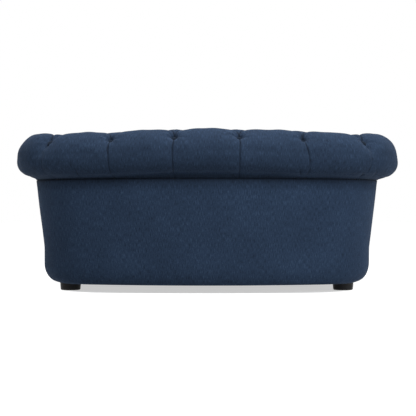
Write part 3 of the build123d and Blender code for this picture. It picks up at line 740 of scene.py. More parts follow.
def cloth_material(name, cloth, turned=0.0, slub_share=1.0, tone=1.0):
    """Heathered plain weave with dark and pale slubs along the warp, with painted shade down inside folds
    and wherever the fold attribute is set; a tone below one paints the whole cloth darker, as shade.
    """
    shader = Shader(name)
    colours = (cloth.dark, cloth.colour, cloth.light)
    dark, plain, light = (tuple(tone * part for part in colour) for colour in colours)
    wide, long = cloth.slub_width * slub_share, cloth.slub_length * slub_share
    slub = shader.noise(shader.weave_place(wide, long), detail=3.0)
    hair = shader.noise(shader.weave_place(cloth.slub_width / 2.6, cloth.slub_length / 2.2), detail=2.0)
    weft = shader.noise(shader.weave_place(cloth.slub_length / 1.6, cloth.thread), detail=2.0)
    cloud = shader.noise(shader.weave_place(0.09, 0.12), detail=2.0)
    streak = shader.math("MULTIPLY", slub, 0.5)
    for part, share in ((hair, 0.35), (weft, 0.15), (shader.math("SUBTRACT", cloud, 0.5), 0.12)):
        streak = shader.math("ADD", streak, shader.math("MULTIPLY", part, share))
    colour = shader.ramp(streak, (0.38, dark), (0.48, plain), (0.53, plain), (0.62, light))
    threads = weave_height(shader, cloth.thread, turned)
    colour = shader.mix(shader.math("MULTIPLY", shader.math("ADD", threads, 1.0), 0.06), colour, light)
    # Painted shade: the fold attribute mixes the colour towards an eighth of the plain colour
    fold = shader.node("ShaderNodeAttribute", attribute_name="fold")
    colour = shader.mix(fold.outputs["Fac"], colour, tuple(0.12 * part for part in plain))
    fine = shader.bump(threads, 0.00012, 0.6)
    normal = shader.bump(streak, 0.0007, 0.5, fine)
    roughness = shader.ramp(hair, (0.3, 0.82), (0.7, 0.97))
    return shader.finish(
        colour, roughness, normal, Specular_IOR_Level=0.15, Sheen_Weight=0.05, Sheen_Roughness=0.5,
        Sheen_Tint=(0.45, 0.62, 0.9, 1),
    )


def lining_material(name, colour, pitch):
    """Thin spun-bonded cloth with a grid of pressed dots."""
    shader = Shader(name)
    fibres = shader.noise(shader.weave_place(0.0015, 0.004), detail=5.0, distortion=1.5)
    dots = shader.cells(shader.weave_place(pitch, pitch), randomness=0.15)
    pressed = shader.ramp(dots, (0.22, 0), (0.34, 1))
    dark, light = (tuple(tone * part for part in colour) for tone in (0.6, 1.5))
    tone = shader.ramp(fibres, (0.3, dark), (0.7, light))
    tone = shader.mix(shader.math("MULTIPLY", pressed, 0.5), tone, colour)
    normal = shader.bump(pressed, 0.0002, 0.8, shader.bump(fibres, 0.0003, 0.5))
    return shader.finish(tone, 0.78, normal, Specular_IOR_Level=0.3)


def foam_material(name):
    """Pale open-cell foam: pores painted darker as shade inside them, and yellowing in clouds."""
    shader = Shader(name)
    pores = shader.cells(shader.object_place(0.0018, 0.0018, 0.0018))
    cloud = shader.noise(shader.object_place(0.08, 0.08, 0.08), detail=4.0)
    tone = shader.ramp(cloud, (0.35, (0.80, 0.70, 0.46)), (0.65, (0.90, 0.84, 0.64)))
    # Painted shade: the pores are mixed to a darker brown
    tone = shader.mix(shader.ramp(pores, (0.1, 1), (0.45, 0)), tone, (0.55, 0.45, 0.28))
    return shader.finish(tone, 0.9, shader.bump(pores, 0.0008, 0.9), Specular_IOR_Level=0.2)


def timber_material(name, pale, dark, grain, layered=0.0):
    """Wood with rings, fibres and pores; layered adds plywood's veneers, seen at its edges."""
    shader = Shader(name)
    rings = shader.noise(shader.object_place(grain * 8, grain, grain), detail=3.0, distortion=0.8)
    bands = shader.math("FRACT", shader.math("MULTIPLY", rings, 7.0))
    fibres = shader.noise(shader.object_place(0.05, 0.0012, 0.0012), detail=4.0)
    tone = shader.ramp(bands, (0.0, dark), (0.35, pale), (0.8, pale), (1.0, dark))
    tone = shader.mix(shader.math("MULTIPLY", fibres, 0.55), tone, dark)
    if layered:
        height = shader.apart(shader.node("ShaderNodeTexCoord").outputs["Object"])["Z"]
        veneer = shader.math("FRACT", shader.math("MULTIPLY", height, 1 / layered))
        sharp = shader.ramp(veneer, (0.0, 0), (0.12, 1), (0.5, 1), (0.56, 0.45))
        tone = shader.mix(0.35, tone, sharp, "MULTIPLY")
    normal = shader.bump(fibres, 0.0004, 0.5)
    roughness = shader.ramp(fibres, (0.3, 0.55), (0.7, 0.78))
    return shader.finish(tone, roughness, normal, Specular_IOR_Level=0.35)


def hardboard_material(name):
    """Pressed brown fibre with flecks."""
    shader = Shader(name)
    flecks = shader.noise(shader.object_place(0.004, 0.004, 0.004), detail=6.0, roughness=0.7)
    browns = ((0.35, (0.13, 0.07, 0.035)), (0.6, (0.30, 0.18, 0.09)), (0.75, (0.42, 0.28, 0.16)))
    tone = shader.ramp(flecks, *browns)
    return shader.finish(tone, 0.62, shader.bump(flecks, 0.0003, 0.5), Specular_IOR_Level=0.35)


def plastic_material(name):
    """Black moulded plastic: spark-eroded grain, faint scuffs and dust near the floor."""
    shader = Shader(name)
    grain = shader.noise(shader.object_place(0.0009, 0.0009, 0.0009), detail=3.0)
    scuffs = shader.noise(shader.object_place(0.03, 0.03, 0.006), detail=5.0, roughness=0.65)
    tone = shader.ramp(scuffs, (0.45, (0.006, 0.006, 0.007)), (0.8, (0.020, 0.020, 0.022)))
    roughness = shader.ramp(scuffs, (0.3, 0.38), (0.75, 0.6))
    return shader.finish(tone, roughness, shader.bump(grain, 0.00015, 0.6), Specular_IOR_Level=0.15)


def steel_material(name, tone_low, tone_high):
    """Plated steel with drawn lines and slight staining."""
    shader = Shader(name)
    lines = shader.noise(shader.object_place(0.0004, 0.0004, 0.006), detail=3.0)
    stain = shader.noise(shader.object_place(0.004, 0.004, 0.004), detail=4.0)
    tone = shader.mix(stain, tone_low, tone_high)
    roughness = shader.ramp(lines, (0.3, 0.26), (0.7, 0.46))
    return shader.finish(tone, roughness, shader.bump(lines, 0.00008, 0.5), Metallic=1.0)


def nylon_material(name):
    """Dyed nylon of the zip's coil."""
    shader = Shader(name)
    streaks = shader.noise(shader.object_place(0.0006, 0.0006, 0.0006), detail=2.0)
    tone = shader.ramp(streaks, (0.3, (0.010, 0.018, 0.034)), (0.7, (0.028, 0.048, 0.085)))
    return shader.finish(tone, 0.42, shader.bump(streaks, 0.0001, 0.5), Specular_IOR_Level=0.5)


materials = {}


# Upholstery of the roll and of the inside
def roll_section(swell, fall, bottom, curl):
    """Section of the upholstery's shown side: neck, roll, blend, inside face, and a curl under its edge.

    Swell and fall run from 0 at the middle of the back to 1 on the arms.
    """
    radius = ROLL_RADIUS_BACK + swell * (ROLL_RADIUS_ARM - ROLL_RADIUS_BACK)
    roll_spot = (ROLL_OUT, ROLL_HEIGHT - fall * ROLL_FALL)
    roll = arc_points(roll_spot, radius, NECK_HEADING, BLEND_HEADING, ROLL_POINTS)
    start = roll[-1]
    blend_radius = (start[0] - WALL_FACE) / (1 + math.cos(math.radians(BLEND_HEADING)))
    heading = math.radians(BLEND_HEADING)
    blend_spot = start - blend_radius * np.array([math.cos(heading), math.sin(heading)])
    blend = arc_points(blend_spot, blend_radius, BLEND_HEADING, 180, BLEND_POINTS)[1:]
    neck = np.linspace((NECK_OUT, PANEL_TOP + FABRIC_GAP), roll[0], NECK_POINTS)[:-1]
    face = np.linspace(blend[-1], (WALL_FACE, bottom + curl), FACE_POINTS)[1:]
    parts = [neck, roll, blend, face]
    if curl:
        parts.append(arc_points((WALL_FACE + curl, bottom + curl), curl, 180, 270, CURL_POINTS)[1:])
        parts.append(np.linspace((WALL_FACE + curl, bottom), (WALL_CORE, bottom), CURL_POINTS)[1:])
    return np.concatenate(parts)


def section_marks(line):
    """Lengths of the section at its side, outer row of buttons, top, inner row and low row."""
    run = lengths(line)
    neck_count = NECK_POINTS - 1
    turns = np.array([90, OUTER_ROW_TURN, 0, INNER_ROW_TURN])
    share = (90 - turns - NECK_HEADING) / (BLEND_HEADING - NECK_HEADING)
    on_roll = neck_count + share * (ROLL_POINTS - 1)
    low_row = neck_count + ROLL_POINTS + BLEND_POINTS - 2
    return np.interp([*on_roll, low_row], np.arange(len(run)), run)


def pillows(s, u, marks, tufting):
    """Pillows between the buttons and the folds that part them, with painted shade down inside each fold.
    """
    side, outer, top, inner, low = marks
    pleats = np.array(PLEATS)
    bay = np.clip(np.searchsorted(pleats, s, "right") - 1, 0, len(pleats) - 2)
    left, right = pleats[bay], pleats[bay + 1]
    half, middle = (right - left) / 2, (left + right) / 2

    # Folds wander away from the outer row, and lean below it
    lean = np.sign(pleats) * np.random.default_rng(4).uniform(*PLEAT_LEANS, len(pleats))
    lean = lean + np.where(pleats == BACK_PLEATS[0], LEFT_PLEAT_LEAN, 0)
    nearest = np.where(np.abs(s - left) < np.abs(s - right), bay, bay + 1)
    wander = WANDER * ripples(s, u, 0.11, 5) * rising(np.abs(u - outer), EDGE_EASE)
    wander = wander - lean[nearest] * np.clip(outer - u, 0, LEAN_REACH)
    off = np.abs(s + wander - middle)

    # They run straight up to the outer row, then bend from button to button
    over = rising(u - outer, inner - outer)
    under = rising(u - inner, low - inner)
    bent = half * FOLD_BEND * over ** (FOLD_BEND - 1) / (inner - outer)
    fold = np.where(u < inner, half * (1 - over**FOLD_BEND), half * under)
    slope = np.where(u < inner, bent, half / (low - inner))
    slope = np.where((u < outer) | (u > low), 0, slope)
    gap = np.abs(fold - off)
    near = gap / np.hypot(1, slope)
    width = np.maximum(np.where(off <= fold, fold, half - fold), 1e-6)
    arch = 1 - (1 - np.clip(gap / width, 0, 1)) ** 2

    fullness = np.random.default_rng(11).uniform(*FULLNESS, len(pleats) - 1)[bay]
    places = (0, side, outer, top, inner, low, low + 0.06, low + 0.2)
    puff = np.interp(u, places, PUFF_SHARES) * tufting.puff
    deep = np.interp(u, places, FOLD_SHARES) * tufting.crease
    at_front = (np.abs(s) > END_STATION - 0.03) & ((u < outer) | (u > low))
    deep = np.where(at_front, 0, deep)
    at_corner = bell(np.abs(s) - CORNER_PLEAT, 0.03) * rising(outer - u, 0.02)
    deep = deep * (1 - (1 - CORNER_PLEAT_SHARE) * at_corner)
    lift = puff * (fullness * arch * np.sqrt(width / (TUFT_PITCH / 2)) - PILLOW_LEVEL)
    lift = lift - deep * np.exp(-near / tufting.crease_width)
    lift = lift + RIDGE_SHARE * deep * np.exp(-near / (3 * tufting.crease_width)) * (off < fold)
    # The second value is painted shade down inside each fold
    return lift, FOLD_SHADE * bell(near, FOLD_SHADE_REACH) * deep / tufting.crease


def pits(s, u, marks, tufting):
    """Pits of the buttons, with puckers round each and painted shade inside each."""
    _, outer, _, inner, low = marks
    seats = [(place, height) for place in PLEATS[1:-1] for height in (outer, low)]
    seats += [(place, inner) for place in MIDDLES]
    lift = painted_shade = np.zeros_like(s)
    for number, (place, height) in enumerate(seats):
        shallow = CORNER_PIT_SHARE if height == outer and abs(place) == CORNER_PLEAT else 1.0
        across, along = s - place, u - height
        reach = np.hypot(across, along)
        turn = np.arctan2(along, across)
        phase = np.random.default_rng(100 + number).uniform(0, 2 * math.pi, 2)
        pucker = np.sin(7 * turn + phase[0]) + 0.6 * np.sin(11 * turn + phase[1])
        lift = lift - shallow * tufting.pit * bell(reach, tufting.pit_radius)
        lift = lift - tufting.pinch * bell(across, PINCH_ACROSS) * bell(along, PINCH_ALONG)
        lift = lift + tufting.pucker * pucker * bell(reach - PUCKER_RING, PUCKER_REACH)
        # Painted shade inside the pit, fainter in the shallow corner pits
        painted_shade = np.maximum(painted_shade, PIT_SHADE * shallow * bell(reach, PIT_SHADE_REACH))
    return lift, painted_shade


def gathers(s, u, marks, tufting):
    """Fullness low on the roll, the fold over each corner, and the snug right arm, with painted shade on
    the roll's neck and down each corner fold.
    """
    side, outer, top, inner, _ = marks
    over_roll = rising(u - side + 0.01, EDGE_EASE) * rising(inner - u, EDGE_EASE)
    turned = np.abs(s) - CORNER_PLEAT + 0.2 * (u - outer)
    lift = tufting.hang * np.sin(math.pi * rising(u - HANG_START, side - HANG_START)) ** 1.5
    full = bell(s - FULL_BAY_STATION, 0.05) * rising(u - side, 0.04) * rising(inner - u, EDGE_EASE)
    lift = lift + FULL_BAY * full
    lift = lift - tufting.corner_fold * over_roll * np.exp(-np.abs(turned) / 0.010)
    snug = rising(s - SNUG_STATION, 0.08) * rising(u, EDGE_EASE) * rising(top - u, EDGE_EASE)
    lift = lift - tufting.snug * snug
    lift = lift - tufting.settle * over_roll * bell(np.abs(s) - SETTLE_STATION, 0.045)
    # Painted shade on the roll's neck, under the roll, and down the fold over each corner
    painted_shade_under_roll = 0.5 * rising(0.012 - u, 0.004)
    corner = CORNER_SHADE * over_roll * bell(turned, CORNER_SHADE_REACH) * (u < top)
    return lift, np.maximum(painted_shade_under_roll, corner)


def drag_creases(s, u):
    """Creases that the cloth's pull makes low on the roll, each with a thin line of painted shade."""
    lift = painted_shade = np.zeros_like(s)
    for place, height, lean, reach in DRAG_CREASES:
        across = s - place - lean * (u - height)
        long = bell(u - height, reach)
        lift = lift - DRAG_DEPTH * np.exp(-np.abs(across) / DRAG_WIDTH) * long
        # Painted shade: a thin dark line down the crease
        painted_shade = np.maximum(painted_shade, 0.75 * bell(across, DRAG_LINE) * long)
    return lift, painted_shade


def tuft_lift(stations, run, marks, tufting):
    """How far the cloth stands over its plain section, and how much shade is painted on it."""
    s, u = np.meshgrid(stations, run)
    parts = [part(s, u, marks, tufting) for part in (pillows, pits, gathers)] + [drag_creases(s, u)]
    uneven = 0.0005 * ripples(s, u, 0.045, 8) * rising(u, 0.05)
    pulled = 0.0005 * rising(0.03 - np.abs(u - 0.03), 0.03) * ripples(s / 6, u, 0.012, 21)
    # The painted shade of all the parts, the darkest at each point
    fold = np.maximum.reduce([painted_shade for _, painted_shade in parts])
    return sum(lift for lift, _ in parts) + uneven + pulled, fold


def section_grid(stations, run, bottom, curl):
    """Plain sections at the stations, as rows of lengths by columns of stations."""
    lines = np.array([roll_section(*shares, bottom, curl) for shares in ((0, 0), (0, 1), (1, 1))])
    places = np.arange(len(lines[0]))
    index = np.interp(run, lengths(lines[0]), places)
    at = [np.stack([np.interp(index, places, part) for part in line.T], -1)[:, None] for line in lines]
    away = np.abs(stations)[None, :, None]
    swell = np.clip((away - SWELL_START) / (SWELL_END - SWELL_START), 0, 1)
    fall = np.clip(away / FALL_END, 0, 1) ** 2
    return at[0] + fall * (at[1] - at[0]) + swell * (at[2] - at[1])


def tuft_grid(stations, run, bottom, curl, lift):
    """Points of the upholstery, from the plain section and its lift."""
    section = section_grid(stations, run, bottom, curl)
    section = section + square_to(unit(np.gradient(section, axis=0))) * lift[:, :, None]
    return on_wall(stations[None, :], section[:, :, 0], section[:, :, 1])


def tuft_places(low, high, bottom, curl, run_steps, station_steps):
    """Marks, lengths and stations of one tufted piece, fine near its buttons and coarse between them."""
    slim = roll_section(0, 0, bottom, curl)
    marks = section_marks(slim)
    run = spread(0, lengths(slim)[-1], marks[[1, 3, 4]], *run_steps, 0.012)
    return marks, run, spread(low, high, PLEATS + MIDDLES, *station_steps, 0.010)


def tufted_cover(name, low, high, bottom, curl, tufting):
    """One tufted piece between two stations."""
    marks, run, stations = tuft_places(low, high, bottom, curl, (0.0018, 0.0034), (0.0011, 0.0036))
    lift, fold = tuft_lift(stations, run, marks, tufting)
    lift = lift * rising(run[-1] - run, 0.02)[:, None]
    points = tuft_grid(stations, run, bottom, curl, lift)
    made = grid_piece(name, points, run, stations, materials["roll_cloth"], flip=True)
    shaded(made, fold)
    return made


def foam_block(name, low, high, bottom, curl, tufting):
    """The foam under one tufted piece, from the cover's own shape, drawn in, to the wall's boards."""
    marks, run, stations = tuft_places(low, high, bottom, curl, (0.004, 0.010), (0.004, 0.012))
    lift = tuft_lift(stations, run, marks, tufting)[0] - FOAM_DRAW
    shown = tuft_grid(stations, run, bottom, curl, lift)
    rail = [(RAIL_OUT, RAIL_TOP), (RAIL_OUT, HEAD_TOP), (HEAD_OUT, HEAD_TOP)]
    core = np.array([(WALL_CORE, bottom + 0.003), (WALL_CORE, RAIL_TOP), *rail])
    back = on_wall(stations[:, None], core[None, :, 0], core[None, :, 1])
    shown = np.maximum(shown, (-9, -9, back[:, :, 2].min()))
    return block_piece(name, np.concatenate([shown.transpose(1, 0, 2), back], 1), materials["foam"])


class SOFA_OT_tufting(bpy.types.Operator):
    """Tufted cloth over the roll and the inside, in three pieces, with the foam under each"""

    bl_idname = "sofa.tufting"
    bl_label = "Tufted covers and foam"

    def execute(self, context):
        tufting = context.scene.sofa_tufting
        parts = {
            "back": (-CORNER_PLEAT, CORNER_PLEAT, TUCK_BACK, COVER_CURL),
            "right_arm": (CORNER_PLEAT, END_STATION, TUCK_ARM, 0),
            "left_arm": (-END_STATION, -CORNER_PLEAT, TUCK_ARM, 0),
        }
        for part, sizes in parts.items():
            cover = tufted_cover(f"{part}_tufting", *sizes, tufting)
            thicken(cover, COVER_THICKNESS)
            settle(cover, "navy_fabric", f"{part}_tufted_cover")
            foam = foam_block(f"{part}_foam_pad", *sizes, tufting)
            settle(foam, "foam", f"{part}_foam")
        return {"FINISHED"}


# Outside cloth, its wadding, and the linings
def outside_profile():
    """Section of the outside cloth's shown face, from under the roll to the flap under the base."""
    turn = np.radians(np.linspace(0, 90, 48))
    out = -EDGE_ROLL_RADIUS * (1 - np.cos(turn))
    height = EDGE_ROLL_BOTTOM + EDGE_ROLL_RISE * (1 - np.sin(turn))
    return np.concatenate(
        [
            [(FLARE_REACH, PANEL_TOP), (0, FLARE_START)],
            np.stack([out, height], -1),
            [(-EDGE_ROLL_RADIUS - 0.003, FOOT_HEIGHT), (-FLAP_REACH, FOOT_HEIGHT)],
        ]
    )


def drawn_in(stations, out):
    """Places of the bottom edge, drawn further under the base where the wall turns its corners."""
    corner = bell(np.abs(stations) - CORNER_DRAW_STATION, CORNER_DRAW_REACH)
    places = (0, EDGE_ROLL_RADIUS, EDGE_ROLL_RADIUS + 0.003, FLAP_REACH)
    return out - CORNER_DRAW * corner * np.interp(-out, places, (0, 1, 1, 0))


class SOFA_OT_outside(bpy.types.Operator):
    """Plain cloth round the outside, drawn under the base and rounded over the wadding of its bottom edge
    """

    bl_idname = "sofa.outside"
    bl_label = "Outside cloth"

    def execute(self, context):
        profile = rounded(outside_profile(), 0.0035, 0.004)
        profile[:, 1] = np.minimum(profile[:, 1], PANEL_TOP)
        run = lengths(profile)
        stations = np.linspace(-END_STATION, END_STATION, 321)
        s, u = np.meshgrid(stations, run)
        lift = 0.00035 * ripples(s, u, 0.09, 31) * rising(u, 0.03)
        lift = lift + 0.0004 * ripples(s, u * 0.4, 0.03, 33) * bell(u - 0.222, 0.022)
        out = drawn_in(stations[None, :], profile[:, None, 0]) + lift
        points = on_wall(stations[None, :], out, profile[:, None, 1])
        cloth = grid_piece("outside_cloth", points, run, stations, materials["cloth"])
        # Painted shadow under the roll, darkest at the top of the panel
        shaded(cloth, 0.62 * np.exp(-u / 0.005) + 0.22 * rising(0.028 - u, 0.010))
        thicken(cloth, OUTSIDE_THICKNESS)
        settle(cloth, "navy_fabric", "outside_cover")
        return {"FINISHED"}


class SOFA_OT_wadding(bpy.types.Operator):
    """Wadding along the outside's bottom edge and behind the front rail's cloth"""

    bl_idname = "sofa.wadding"
    bl_label = "Wadding"

    def execute(self, context):
        spot = (-EDGE_ROLL_RADIUS, EDGE_ROLL_BOTTOM + EDGE_ROLL_RISE)
        bottom = FOOT_HEIGHT + 0.0015
        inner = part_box("base_board")[1].x - HALF_WIDTH + 0.0006
        turn = np.radians(np.linspace(8, 84, 14))
        bend = [
            spot[0] + (EDGE_ROLL_RADIUS - EDGE_WADDING_DRAW) * np.cos(turn),
            spot[1] - (EDGE_ROLL_RISE - EDGE_WADDING_RISE_DRAW) * np.sin(turn),
        ]
        section = np.concatenate(
            [np.stack(bend, -1), [(spot[0] - 0.0012, bottom), (inner, bottom), (inner, spot[1] - 0.006)]]
        )
        end = END_STATION - BOARD_FRONT + FRONT_Y
        stations = np.linspace(-end, end, 201)
        lump = 1 - 0.03 * (1 + ripples(stations, 0, 0.05, 41))[:, None]
        out = spot[0] + (section[None, :, 0] - spot[0]) * lump
        out = np.maximum(drawn_in(stations[:, None], out), np.minimum(out, inner + 0.0003))
        points = on_wall(stations[:, None], out, section[None, :, 1])
        edge = block_piece("edge_wadding", points[:, ::-1], materials["foam"])
        settle(edge, "foam", "edge_roll_padding")

        low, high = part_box("front_padding")
        across = np.linspace(low.x, high.x, 161)
        inset = FRONT_WADDING_RADIUS + 0.0002
        spot = (low.y + inset, low.z + inset)
        section = np.concatenate(
            [
                arc_points(spot, FRONT_WADDING_RADIUS, 180, 270, 12),
                [(spot[0] + 0.0022, bottom), (high.y, bottom), (high.y, high.z), (low.y + 0.0002, high.z)],
            ]
        )
        lump = 0.0002 * (1 + ripples(across, 0, 0.04, 43))[:, None]
        x = np.broadcast_to(across[:, None], (len(across), len(section)))
        y = np.minimum(section[None, :, 0] + lump, high.y)
        z = np.broadcast_to(section[None, :, 1], x.shape)
        front = block_piece("front_wadding", np.stack([x, y, z], -1), materials["foam"])
        settle(front, "foam", "front_padding")
        return {"FINISHED"}


def plan_grid(out, front, spacing):
    """Places over the plan inside the wall, from a straight front to the curved back."""
    edge, corner, bow = HALF_WIDTH + out, CORNER_RADIUS + out, BOW_RADIUS + out
    x = edge * np.sin(np.linspace(-math.pi / 2, math.pi / 2, round(2 * edge / spacing) + 1))
    away = np.abs(x)
    on_bow = BOW_CENTRE_Y + np.sqrt(bow**2 - x**2)
    on_corner = CORNER_Y + np.sqrt(np.maximum(corner**2 - np.maximum(away - CORNER_X, 0) ** 2, 0))
    back = np.where(away <= bow * math.sin(BOW_TURN), on_bow, on_corner)
    share = np.linspace(0, 1, round((back.max() - front) / spacing) + 1)[:, None]
    y = front + (back - front)[None, :] * share
    area = float(np.sum((back[1:] + back[:-1] - 2 * front) / 2 * np.diff(x)))
    return np.broadcast_to(x, y.shape), y, share, area


class SOFA_OT_linings(bpy.types.Operator):
    """Thin cloths under the base, over the deck and behind the cushion"""

    bl_idname = "sofa.linings"
    bl_label = "Linings"

    def execute(self, context):
        flap = FLAP_REACH + FABRIC_GAP
        flats = {
            "bottom_lining": ("dust_cover", -flap, FRONT_Y + flap, "base_board"),
            "deck_lining": ("deck_cloth", WALL_CORE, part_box("deck_cloth")[0].y, "seat_deck"),
        }
        for number, (name, (node, out, front, carrier)) in enumerate(flats.items()):
            x, y, share, area = plan_grid(out, front, 0.012)
            low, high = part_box(node)
            inside = np.sin(math.pi * share) * np.cos(x / (2 * HALF_WIDTH) * math.pi)
            under = node == "dust_cover"
            sag = (0.0012 if under else 0.0004) * inside + 0.0003 * ripples(x, y, 0.07, 51 + number)
            z = (low.z if under else high.z) - (sag if under else -sag)
            points = np.stack([x, y, np.broadcast_to(z, x.shape)], -1)
            cloth = grid_piece(name, points, y[:, 0], x[0], materials["lining"], flip=under)
            box_mapped(cloth)
            thicken(cloth, LINING_THICKNESS)
            settle(cloth, "black_cloth", node)

        low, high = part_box("pull_down_cloth")
        stations = np.linspace(-CORNER_PLEAT + 0.0005, CORNER_PLEAT - 0.0005, 161)
        rise = np.linspace(low.z, high.z, 17)
        s, z = np.meshgrid(stations, rise)
        out = WALL_CORE - 0.0011 - 0.0008 * np.abs(ripples(s * 1.5, z / 3, 0.04, 55))
        cloth = grid_piece("pull_down_lining", on_wall(s, out, z), rise, stations, materials["lining"])
        thicken(cloth, LINING_THICKNESS)
        settle(cloth, "black_cloth", "pull_down_cloth")
        return {"FINISHED"}


# Fronts of the arms, and the front rail
def arm_outline(inset, spacing):
    """Ring of points round the right arm's front, drawn in by an inset, as out and height."""
    section = roll_section(1, 1, EDGE_ROLL_BOTTOM, 0)
    centre = (-EDGE_ROLL_RADIUS, EDGE_ROLL_BOTTOM + EDGE_ROLL_RADIUS)
    bend = arc_points(centre, EDGE_ROLL_RADIUS, -90, 0, 24)
    ring = rounded(np.concatenate([section, bend, [(0, FLARE_START)]]), spacing, 0.006, closed=True)
    return ring - inset * square_to(unit(np.roll(ring, -1, axis=0) - np.roll(ring, 1, axis=0)))


def facing_pad(name, side, material):
    """Padded scroll panel, crowned, with its edge rolled down to the welt."""
    outline = arm_outline(FACING_INSET, 0.0016)
    x = side * (HALF_WIDTH + outline[:, 0])
    back, front = FRONT_Y - FABRIC_GAP, FRONT_Y - FACING_DEPTH
    count = len(outline)
    rings = [np.stack([x, np.full(count, y), outline[:, 1]], -1) for y in (front, back)]
    made = new_object(name, np.concatenate(rings), swept_faces(2, count), material)
    evened(made, FACING_VOXEL)
    places = vertex_places(made)
    flat = np.stack([side * places[:, 0] - HALF_WIDTH, places[:, 2]], -1)
    depth = ring_gaps(outline, flat)[0]
    swell = FACING_SWELL * np.sqrt(1 - (1 - rising(depth, FACING_EDGE)) ** 2)
    crown = FACING_CROWN * (1 - np.exp(-depth / 0.02))
    slack = 0.0005 * ripples(flat[:, 0], flat[:, 1], 0.03, 61)
    shown = rising(back - places[:, 1], back - front)
    places[:, 1] = back - (FACING_RIM + swell + crown + slack) * shown
    set_places(made, places)
    box_mapped(made)
    return made


class SOFA_OT_arm_fronts(bpy.types.Operator):
    """Padded scroll panels on the fronts of the arms, each with a welt round it"""

    bl_idname = "sofa.arm_fronts"
    bl_label = "Arm fronts"

    def execute(self, context):
        for side, label in ((1, "right"), (-1, "left")):
            pad = facing_pad(f"{label}_facing_pad", side, materials["cloth"])
            settle(pad, "navy_fabric", f"{label}_arm_facing")
            outline = arm_outline(FACING_WELT_INSET, 0.002)
            y = np.full(len(outline), FRONT_Y - FABRIC_GAP - FACING_WELT_INSET)
            path = np.stack([side * (HALF_WIDTH + outline[:, 0]), y, outline[:, 1]], -1)
            name = f"{label}_facing_welt"
            welt = tube_piece(name, path[::side], FACING_WELT_RADIUS, (0, -1, 0), materials["welt"])
            settle(welt, "navy_welt", f"{label}_arm_welt")
        return {"FINISHED"}


class SOFA_OT_front_rail(bpy.types.Operator):
    """Cloth of the front rail, from under the cushion down to the flap under the base"""

    bl_idname = "sofa.front_rail"
    bl_label = "Front rail cloth"

    def execute(self, context):
        low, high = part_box("front_cover")
        face, top = low.y, high.z
        line = np.concatenate(
            [
                [(high.y - 0.017, top)],
                arc_points((face + 0.008, top - 0.008), 0.008, 90, 180, 12),
                arc_points((face + 0.020, low.z + 0.020), 0.020, 180, 270, 24),
                [(face + 0.023, FOOT_HEIGHT), (high.y, FOOT_HEIGHT)],
            ]
        )
        profile = rounded(line, 0.0032, 0.0025)
        run = lengths(profile)
        across = np.linspace(low.x, high.x, 181)
        x, u = np.meshgrid(across, run)
        proud = square_to(unit(np.gradient(profile, axis=0)))
        belly = 0.0012 * bell(u - 0.09, 0.03) * (1 - (2 * x / (high.x - low.x)) ** 4)
        pull = 0.0006 * ripples(x * 1.2, u / 5, 0.03, 71) * bell(u - 0.05, 0.012)
        lift = belly + pull + 0.0003 * ripples(x, u, 0.05, 73)
        section = profile[:, None] + proud[:, None] * lift[:, :, None]
        points = np.stack([x, section[:, :, 0], section[:, :, 1]], -1)
        cloth = grid_piece("front_rail_cloth", points, run, across, materials["cloth"], flip=True)
        thicken(cloth, OUTSIDE_THICKNESS)
        settle(cloth, "navy_fabric", "front_cover")
        return {"FINISHED"}


# What repeats: buttons, stitches and zip teeth
def repeat_tree(name, template, material, pitch=None):
    """Geometry Nodes that set copies of a template on points, or along a path at a pitch."""
    tree = bpy.data.node_groups.new(name, "GeometryNodeTree")
    face = tree.interface
    face.new_socket("Geometry", in_out="INPUT", socket_type="NodeSocketGeometry")
    sockets = [
        face.new_socket(label, in_out="INPUT", socket_type="NodeSocketFloat").identifier
        for label in ("Size", "Pitch", "Unevenness")
    ]
    face.new_socket("Geometry", in_out="OUTPUT", socket_type="NodeSocketGeometry")
    nodes = Nodes(tree)
    start = nodes.node("NodeGroupInput").outputs
    points = start["Geometry"]
    if pitch is None:
        facing, along = (
            nodes.output("GeometryNodeInputNamedAttribute", {"Name": label}, data_type="FLOAT_VECTOR")
            for label in ("facing", "along")
        )
    else:
        curve = nodes.output("GeometryNodeMeshToCurve", {"Mesh": points})
        upright = nodes.output("GeometryNodeSetCurveNormal", {"Curve": curve}, mode="Z_UP")
        steps = {"Curve": upright, "Length": start["Pitch"]}
        points = nodes.output("GeometryNodeResampleCurve", steps, mode="LENGTH")
        facing = nodes.node("GeometryNodeInputNormal").outputs["Normal"]
        along = nodes.node("GeometryNodeInputTangent").outputs["Tangent"]
    align = "FunctionNodeAlignRotationToVector"
    turn = nodes.output(align, {"Vector": facing}, axis="Z")
    turn = nodes.output(align, {"Rotation": turn, "Vector": along}, axis="X", pivot_axis="Z")
    vary = nodes.node("FunctionNodeRandomValue")
    vary.inputs["Seed"].default_value = 7
    nodes.feed(vary.inputs[2], nodes.math("SUBTRACT", 1.0, start["Unevenness"]))
    nodes.feed(vary.inputs[3], nodes.math("ADD", 1.0, start["Unevenness"]))
    scale = nodes.math("MULTIPLY", start["Size"], vary.outputs[1])
    info = nodes.node("GeometryNodeObjectInfo")
    info.inputs["Object"].default_value = template
    inputs = {"Points": points, "Instance": info.outputs["Geometry"], "Rotation": turn, "Scale": scale}
    copies = nodes.output("GeometryNodeInstanceOnPoints", inputs)
    solid = nodes.output("GeometryNodeRealizeInstances", {"Geometry": copies})
    painted = nodes.output("GeometryNodeSetMaterial", {"Geometry": solid, "Material": material})
    nodes.link(painted, nodes.node("NodeGroupOutput").inputs["Geometry"])
    return tree, sockets


